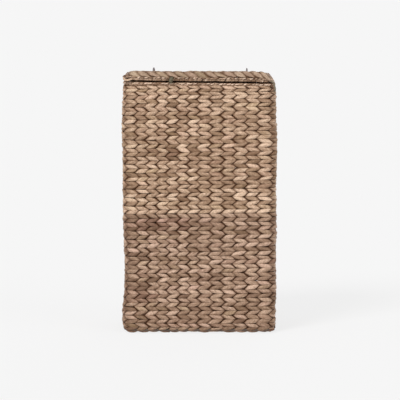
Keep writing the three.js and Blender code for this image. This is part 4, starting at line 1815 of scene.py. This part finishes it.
@dataclass
class WovenLid:
    """The lid: a crowned mat inside an edge row, over a wrapped hoop with a thin cord round it."""

    plan: Plan
    sag: Sag
    crown: Crown
    row_height: float = 9.4 * MM
    stitch_length: float = 26.3 * MM
    eye_push: float = 5.2 * MM
    eye_half_width: float = 7 * MM
    eye_reach: float = 10 * MM
    end_overlap: float = 2 * MM
    edge_stitch_length: float = 22.2 * MM
    edge_outside: float = 11.0 * MM
    edge_inside: float = 5.4 * MM
    # How much darker the back of the edge row is painted, as shade on the side turned from the lamps
    back_edge_shade: float = 0.3
    # Both moods have a low tone: painted shade that evens out the stronger light on the lid's top
    mood: Mood = Mood(tone=0.3, stray=0.2, patch=0.16, tint=0.62)
    edge_mood: Mood = Mood(tone=0.42, stray=0.09, patch=0.08, tint=0.68)
    wrap_pitch: float = 10.5 * MM
    wrap_radius: float = 3.4 * MM
    wrap_half_width: float = 5.4 * MM
    wrap_mood: Mood = Mood(tone=0.38, tint=0.56)
    cord_rise: float = 3.0 * MM
    cord_height: float = 3.0 * MM
    cord_out: float = 5.6 * MM
    cord_mood: Mood = Mood(tone=0.5, stray=0.16, patch=0.14, tint=0.45, patch_stitches=9)
    stitch: Stitch = Stitch(
        depth=2.9 * MM,
        climb=0.17,
        half_height=0.64,
        half_height_dive=0.36,
        half_thickness=2.1 * MM,
        half_thickness_dive=1.6 * MM,
        middle_out=0.6 * MM,
        loose_out=0.5 * MM,
    )
    edge_stitch: Stitch = Stitch(
        depth=2.5 * MM,
        climb=0.14,
        half_height=0.5,
        half_height_dive=0.26,
        half_thickness=2.0 * MM,
        half_thickness_dive=1.5 * MM,
        middle_out=1.4 * MM,
        steepness=0.75,
        inner_fold=0.6,
        loose_out=0.7 * MM,
        loose_up=0.8 * MM,
    )

    def eyes(self, level: float) -> tuple[Eye, ...]:
        """Holes for the hinge rings, between the two rows nearest the hinge."""
        eyes = []
        for side in ("left", "right"):
            x = ring_x(side) - float(self.sag.slide(ring_x(side), level))
            eyes.append(Eye(x, level, self.eye_push, self.eye_push, self.eye_half_width, self.eye_reach))
        return tuple(eyes)

    def build(self, rng: np.random.Generator) -> None:
        """Weaves the lid."""
        material = LID_HYACINTH.make()
        height = axis_height("lid_hoop")
        rows = MatRows(
            half_length=self.plan.half_width - self.edge_inside + self.end_overlap,
            half_depth=self.plan.half_depth - self.edge_inside,
            row_height=self.row_height,
            stitch_length=self.stitch_length,
        )
        surface = LevelSurface(height, self.crown, self.eyes(rows.half_depth - rows.pitch()))
        mesh = StrandMesh("lid_rows")
        rows.weave(mesh, surface, self.stitch, rng, self.mood)
        dress(mesh.finish(material, self.sag), "lid", ["lid_mat"])
        self.build_edge(rng, material, height)

    def build_edge(self, rng: np.random.Generator, material: bpy.types.Material, height: float) -> None:
        """Lays the row and the thin cord round the lid's edge.

        Args:
            rng: The source of chance.
            material: What the edge row is made of.
            height: The height of the lid hoop's axis.
        """
        stitches = 2 * round(self.plan.length() / self.edge_stitch_length / 2)
        edge_height = self.edge_outside + self.edge_inside
        middle = (self.edge_outside - self.edge_inside) / 2
        corner, back = self.plan.legs()[4:6]
        # Painted shade along the back of the edge row, whose top shows as a dark line along the lid's back
        back_shade = Patch(
            along=self.plan.back_middle(),
            up=middle,
            half_width=back / 2 + corner,
            half_height=edge_height,
            tone=-self.back_edge_shade,
        )
        ring = Weaver(
            surface=EdgeSurface(self.plan, height, self.crown),
            stitch=self.edge_stitch,
            seams=np.linspace(0, self.plan.length(), stitches + 1),
            closed=True,
            rng=rng,
            patches=(back_shade,),
        )
        mesh = StrandMesh("lid_edge_row")
        ring.row(mesh, Row(middle, edge_height, Slant.RISING, self.edge_mood))
        dress(mesh.finish(material, self.sag), "lid")
        pale = BINDING_STRAND.make()
        wraps = StrandMesh("lid_wraps")
        wrap = Wrap(self.plan, height, self.wrap_pitch, self.wrap_radius, self.wrap_half_width)
        wrap.wind(wraps, rng, self.wrap_mood)
        dress(wraps.finish(pale, self.sag), "lid", on_each_side("lid_binding_{}"))
        mesh = StrandMesh("lid_cord")
        cord = Cord(self.plan, height + self.cord_rise, self.cord_height, self.cord_out)
        cord.lay(mesh, rng, self.cord_mood)
        dress(mesh.finish(pale, self.sag), "lid")


@dataclass(frozen=True)
class LooseEnd:
    """A strand's end that has worked out of the weave.

    It runs through points given in mm, wide in the way `width_way` but for a tilt in degrees. Its bareness on
    its two sides, and less at its edges by `edge_shade`, sets how much painted shade each part gets.
    """

    points: tuple[tuple[float, float, float], ...]
    width_way: tuple[float, float, float]
    half_width: float
    half_thickness: float
    tone: float
    tint: float
    tilt: float = 0.0
    inner_bareness: float = 0.95
    outer_bareness: float = 0.95
    edge_shade: float = 0.0
    steps: int = 8
    around: int = 10

    TAPER_SHARE, TIP_SIZE = 0.125, 0.3
    INNER_EDGE = -0.1
    STEP_LENGTH = 8 * MM

    def line(self) -> np.ndarray:
        """Points along the strand's middle, on a smooth curve through the given ones."""
        known = np.array(self.points) * MM
        padded = np.concatenate([[2 * known[0] - known[1]], known, [2 * known[-1] - known[-2]]])
        share = np.arange(self.steps)[:, None] / self.steps
        parts = []
        for a, b, c, d in zip(padded, padded[1:], padded[2:], padded[3:]):
            bend = (2 * a - 5 * b + 4 * c - d) * share**2 + (3 * b - a - 3 * c + d) * share**3
            parts.append(b + ((c - a) * share + bend) / 2)
        return np.concatenate([*parts, known[-1:]])

    def facing(self, line: np.ndarray) -> tuple[np.ndarray, np.ndarray]:
        """The ways in which the strand is wide and thin along its line.

        Args:
            line: Points along its middle.

        Returns:
            Its width's and its thickness's way at each point.
        """
        way = unit(np.gradient(line, axis=0))
        wide = unit(np.array(self.width_way) - (way @ np.array(self.width_way))[:, None] * way)
        thin = np.cross(way, wide)
        cos, sin = math.cos(math.radians(self.tilt)), math.sin(math.radians(self.tilt))
        return wide * cos + thin * sin, thin * cos - wide * sin

    def lay(self, mesh: StrandMesh) -> None:
        """Lays the strand, thinner towards both ends.

        Args:
            mesh: What the strand is added to.
        """
        line = self.line()
        wide, thin = self.facing(line)
        share = np.linspace(0, 1, len(line))
        taper = np.clip(np.minimum(share, 1 - share) / self.TAPER_SHARE, self.TIP_SIZE, 1)[:, None, None]
        angle = full_turn(self.around)
        bareness = np.where(np.cos(angle) > self.INNER_EDGE, self.inner_bareness, self.outer_bareness)
        bareness = bareness * (1 - self.edge_shade * np.sin(angle) ** 2)
        in_width = self.half_width * np.sin(angle)
        in_depth = self.half_thickness * np.cos(angle)
        section = in_depth[None, :, None] * thin[:, None] + in_width[None, :, None] * wide[:, None]
        grid = line[:, None] + taper * section
        run = np.linspace(0, len(self.points) * self.STEP_LENGTH, len(line))[:, None]
        values = {
            "tone": np.full(grid.shape[:2], self.tone),
            "tint": np.full(grid.shape[:2], self.tint),
            "bareness": np.broadcast_to(bareness, grid.shape[:2]),
            "strand_place": np.stack(np.broadcast_arrays(run, in_depth, in_width), axis=-1),
        }
        mesh.add(grid, values, self.steps, False)


@dataclass
class LooseEnds:
    """Ends that stand off the weave: two at the lid's front and one at the rim's front right corner."""

    corner_curl: LooseEnd = LooseEnd(
        points=(
            (-164, -20, 590),
            (-172.4, -60, 591.2),
            (-172.4, -90, 593.2),
            (-173, -104, 598),
            (-175.8, -113, 596.5),
            (-175.8, -121, 592.8),
            (-172, -127, 589.8),
            (-166, -129, 589.2),
            (-159, -128, 591.2),
            (-152, -122, 592.5),
        ),
        width_way=(0, 1, 0.6),
        half_width=2.6 * MM,
        half_thickness=1.3 * MM,
        tone=0.66,
        tint=0.58,
        tilt=30,
        # Its outer side is painted dark, as shade
        outer_bareness=0.25,
    )
    hanging_end: LooseEnd = LooseEnd(
        points=(
            (-64, -119, 596),
            (-65, -126, 595),
            (-66, -129.8, 591),
            (-67, -130.2, 586),
            (-67, -127.5, 581),
        ),
        width_way=(1, 0, 0.1),
        half_width=5.2 * MM,
        half_thickness=1.3 * MM,
        tone=0.26,
        tint=0.6,
        inner_bareness=0.7,
        outer_bareness=0.7,
        # Its edges are painted darker, as shade
        edge_shade=0.75,
    )
    corner_end: LooseEnd = LooseEnd(
        points=(
            (164, -120, 588),
            (169.5, -122, 583),
            (172.5, -120.5, 576),
            (174, -118, 568),
            (174, -113, 559),
        ),
        width_way=(0.7, 0.7, 0),
        half_width=2.4 * MM,
        half_thickness=1.2 * MM,
        tone=0.55,
        tint=0.0,
    )

    def build(self) -> None:
        """Lays the loose ends."""
        fresh, weathered = HYACINTH.make(), WEATHERED_HYACINTH.make()
        ends = (
            ("lid_corner_curl", self.corner_curl, "lid", fresh),
            ("lid_hanging_end", self.hanging_end, "lid", weathered),
            ("rim_corner_end", self.corner_end, "basket", weathered),
        )
        for name, end, body, material in ends:
            mesh = StrandMesh(name)
            end.lay(mesh)
            dress(mesh.finish(material), body)


@dataclass
class BaseMat:
    """The twined mat under the laundry, inside the rolled foot of the walls."""

    plan: Plan
    row_height: float = 9.6 * MM
    stitch_length: float = 26.3 * MM
    inset: float = 1.0 * MM
    stitch: Stitch = Stitch(
        depth=2.7 * MM,
        climb=0.17,
        half_height=0.68,
        half_height_dive=0.44,
        half_thickness=2.0 * MM,
        half_thickness_dive=1.8 * MM,
        middle_out=0.0,
        overlap=0.08,
        loose_out=0.4 * MM,
    )

    def build(self, rng: np.random.Generator) -> None:
        """Weaves the base."""
        rows = MatRows(
            half_length=self.plan.half_width - self.inset,
            half_depth=self.plan.half_depth - self.inset,
            row_height=self.row_height,
            stitch_length=self.stitch_length,
        )
        mesh = StrandMesh("base_rows")
        rows.weave(mesh, LevelSurface(axis_height("base_hoop")), self.stitch, rng, Mood())
        dress(mesh.finish(SHADED_HYACINTH.make()), "basket", ["base_mat"])


# Stage


@dataclass(frozen=True)
class Lamp:
    """A soft lamp: its bearing from the front towards the right, its elevation, strength and softness.

    The angles are in degrees.
    """

    name: str
    bearing: float
    elevation: float
    strength: float
    softness: float

    def direction(self) -> Vector:
        """The way from the basket to the lamp."""
        bearing, elevation = math.radians(self.bearing), math.radians(self.elevation)
        level = math.cos(elevation)
        return Vector((math.sin(bearing) * level, -math.cos(bearing) * level, math.sin(elevation)))

    def on_floor(self) -> float:
        """The brightness that it gives a white floor."""
        return self.strength * math.sin(math.radians(self.elevation)) / math.pi


@dataclass
class Studio:
    """A pale floor and world, plain soft light and the camera."""

    world_level: float = 0.5
    floor_side: float = 120.0
    floor_shade_share: float = 0.16
    lamps: tuple[Lamp, ...] = (
        Lamp("key_lamp", bearing=-32, elevation=38, strength=2.1, softness=22),
        Lamp("fill_lamp", bearing=48, elevation=22, strength=0.7, softness=40),
        Lamp("back_lamp", bearing=165, elevation=12, strength=0.7, softness=40),
    )

    FLOOR_COLOUR = (0.8, 0.8, 0.8, 1)

    def floor_level(self) -> float:
        """The brightness of a white floor away from the basket."""
        return self.world_level + sum(lamp.on_floor() for lamp in self.lamps)

    def build(self) -> None:
        """Makes the floor, the world, the lamps and the camera."""
        self.build_world()
        self.build_floor()
        self.build_lamps()
        self.build_camera()

    def seen_directly(self, tree: Tree) -> Socket:
        """A socket that is 1 where the backdrop is seen itself, also in a reflection or through glass."""
        path = add_node(tree, "ShaderNodeLightPath").outputs
        either = add_math(tree, "MAXIMUM", path["Is Camera Ray"], path["Is Glossy Ray"])
        return add_math(tree, "MAXIMUM", either, path["Is Transmission Ray"])

    def build_world(self) -> None:
        """Makes an even world that lights the object and shows as the pale backdrop."""
        world = bpy.data.worlds.new("studio")
        bpy.context.scene.world = world
        world.use_nodes = True
        tree = world.node_tree
        tree.nodes.clear()
        seen = self.seen_directly(tree)
        light = add_node(tree, "ShaderNodeBackground", Color=(1, 1, 1, 1), Strength=self.world_level)
        shown = add_node(tree, "ShaderNodeBackground", Color=linear(BACKDROP_HEX), Strength=1.0)
        mix = add_node(tree, "ShaderNodeMixShader", _0=seen, _1=light.outputs[0], _2=shown.outputs[0])
        add_node(tree, "ShaderNodeOutputWorld", Surface=mix.outputs[0])

    def build_floor(self) -> None:
        """Makes a floor that shows as the backdrop's colour and keeps the object's soft shadow."""
        material, tree = new_material("pale_floor")
        seen = self.seen_directly(tree)
        share = self.floor_shade_share
        pale = linear(BACKDROP_HEX)
        glow = add_node(tree, "ShaderNodeEmission", Color=pale, Strength=1 - share)
        shade_colour = [c * share / self.floor_level() for c in pale[:3]]
        shaded = add_node(tree, "ShaderNodeBsdfDiffuse", Color=(*shade_colour, 1))
        shown = add_node(tree, "ShaderNodeAddShader", _0=glow.outputs[0], _1=shaded.outputs[0])
        plain = add_node(tree, "ShaderNodeBsdfDiffuse", Color=self.FLOOR_COLOUR)
        mix = add_node(tree, "ShaderNodeMixShader", _0=seen, _1=plain.outputs[0], _2=shown.outputs[0])
        add_node(tree, "ShaderNodeOutputMaterial", Surface=mix.outputs[0])
        half = self.floor_side / 2
        mesh = bpy.data.meshes.new("floor")
        corners = [(-half, -half, 0), (half, -half, 0), (half, half, 0), (-half, half, 0)]
        mesh.from_pydata(corners, [], [(0, 1, 2, 3)])
        mesh.materials.append(material)
        floor = bpy.data.objects.new("floor", mesh)
        bpy.context.scene.collection.objects.link(floor)

    def build_lamps(self) -> None:
        """Adds the lamps, which are far off and wide, so that each lights all of the stage alike."""
        for lamp in self.lamps:
            data = bpy.data.lights.new(lamp.name, "SUN")
            data.energy = lamp.strength
            data.angle = math.radians(lamp.softness)
            made = bpy.data.objects.new(lamp.name, data)
            made.rotation_euler = (-lamp.direction()).to_track_quat("-Z", "Y").to_euler()
            bpy.context.scene.collection.objects.link(made)

    def build_camera(self) -> None:
        """Puts the camera where the photograph was taken from."""
        front = cad_box[0].y
        px_per_radian = FRONT_PX_PER_MM / MM * CAMERA_DISTANCE
        data = bpy.data.cameras.new("camera")
        data.sensor_width = CAMERA_SENSOR_MM
        data.clip_end = CAMERA_SIGHT
        data.lens = px_per_radian * CAMERA_SENSOR_MM / PICTURE_SIDE_PX
        camera = bpy.data.objects.new("camera", data)
        aside = (PICTURE_SIDE_PX / 2 - BASKET_MIDDLE_PX) / FRONT_PX_PER_MM * MM
        camera.location = (aside, front - CAMERA_DISTANCE, CAMERA_HEIGHT)
        target = Vector((aside, front, AIM_HEIGHT))
        camera.rotation_euler = (target - camera.location).to_track_quat("-Z", "Y").to_euler()
        bpy.context.scene.collection.objects.link(camera)
        bpy.context.scene.camera = camera


def hoop_plan() -> Plan:
    """The plan of the frame's hoops, from the rim hoop's solid."""
    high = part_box("rim_hoop")[1]
    return Plan(high.x - HOOP_ROD_RADIUS, high.y - HOOP_ROD_RADIUS, HOOP_CORNER_RADIUS)


def main() -> None:
    """Builds the basket and its stage."""
    logging.basicConfig(level=logging.INFO, format="%(name)s: %(message)s")
    bpy.context.scene.view_settings.view_transform = "Standard"
    rng = np.random.default_rng(SEED)
    plan = hoop_plan()
    rim_sag = Sag(
        half_width=plan.half_width,
        half_depth=plan.half_depth,
        front_drop=0.2 * MM,
        right_drop=3.8 * MM,
        end_drop=0.0,
        right_inset=2.2 * MM,
    )
    lid_sag = Sag(
        half_width=plan.half_width,
        half_depth=plan.half_depth,
        front_drop=1.9 * MM,
        right_drop=3.4 * MM,
        end_drop=2 * MM,
        right_inset=8 * MM,
        left_lift=2.5 * MM,
        left_inset=5 * MM,
        back_right_inset=6 * MM,
    )
    crown = Crown(plan.half_width, plan.half_depth)
    Studio().build()
    RodFrame(plan, rim_sag, lid_sag, crown).build()
    WovenWalls(plan, rim_sag).build(rng)
    RimBinding(plan, rim_sag).build(rng)
    WovenLid(plan, lid_sag, crown).build(rng)
    LooseEnds().build()
    BaseMat(plan).build(rng)


if __name__ == "__main__":
    main()
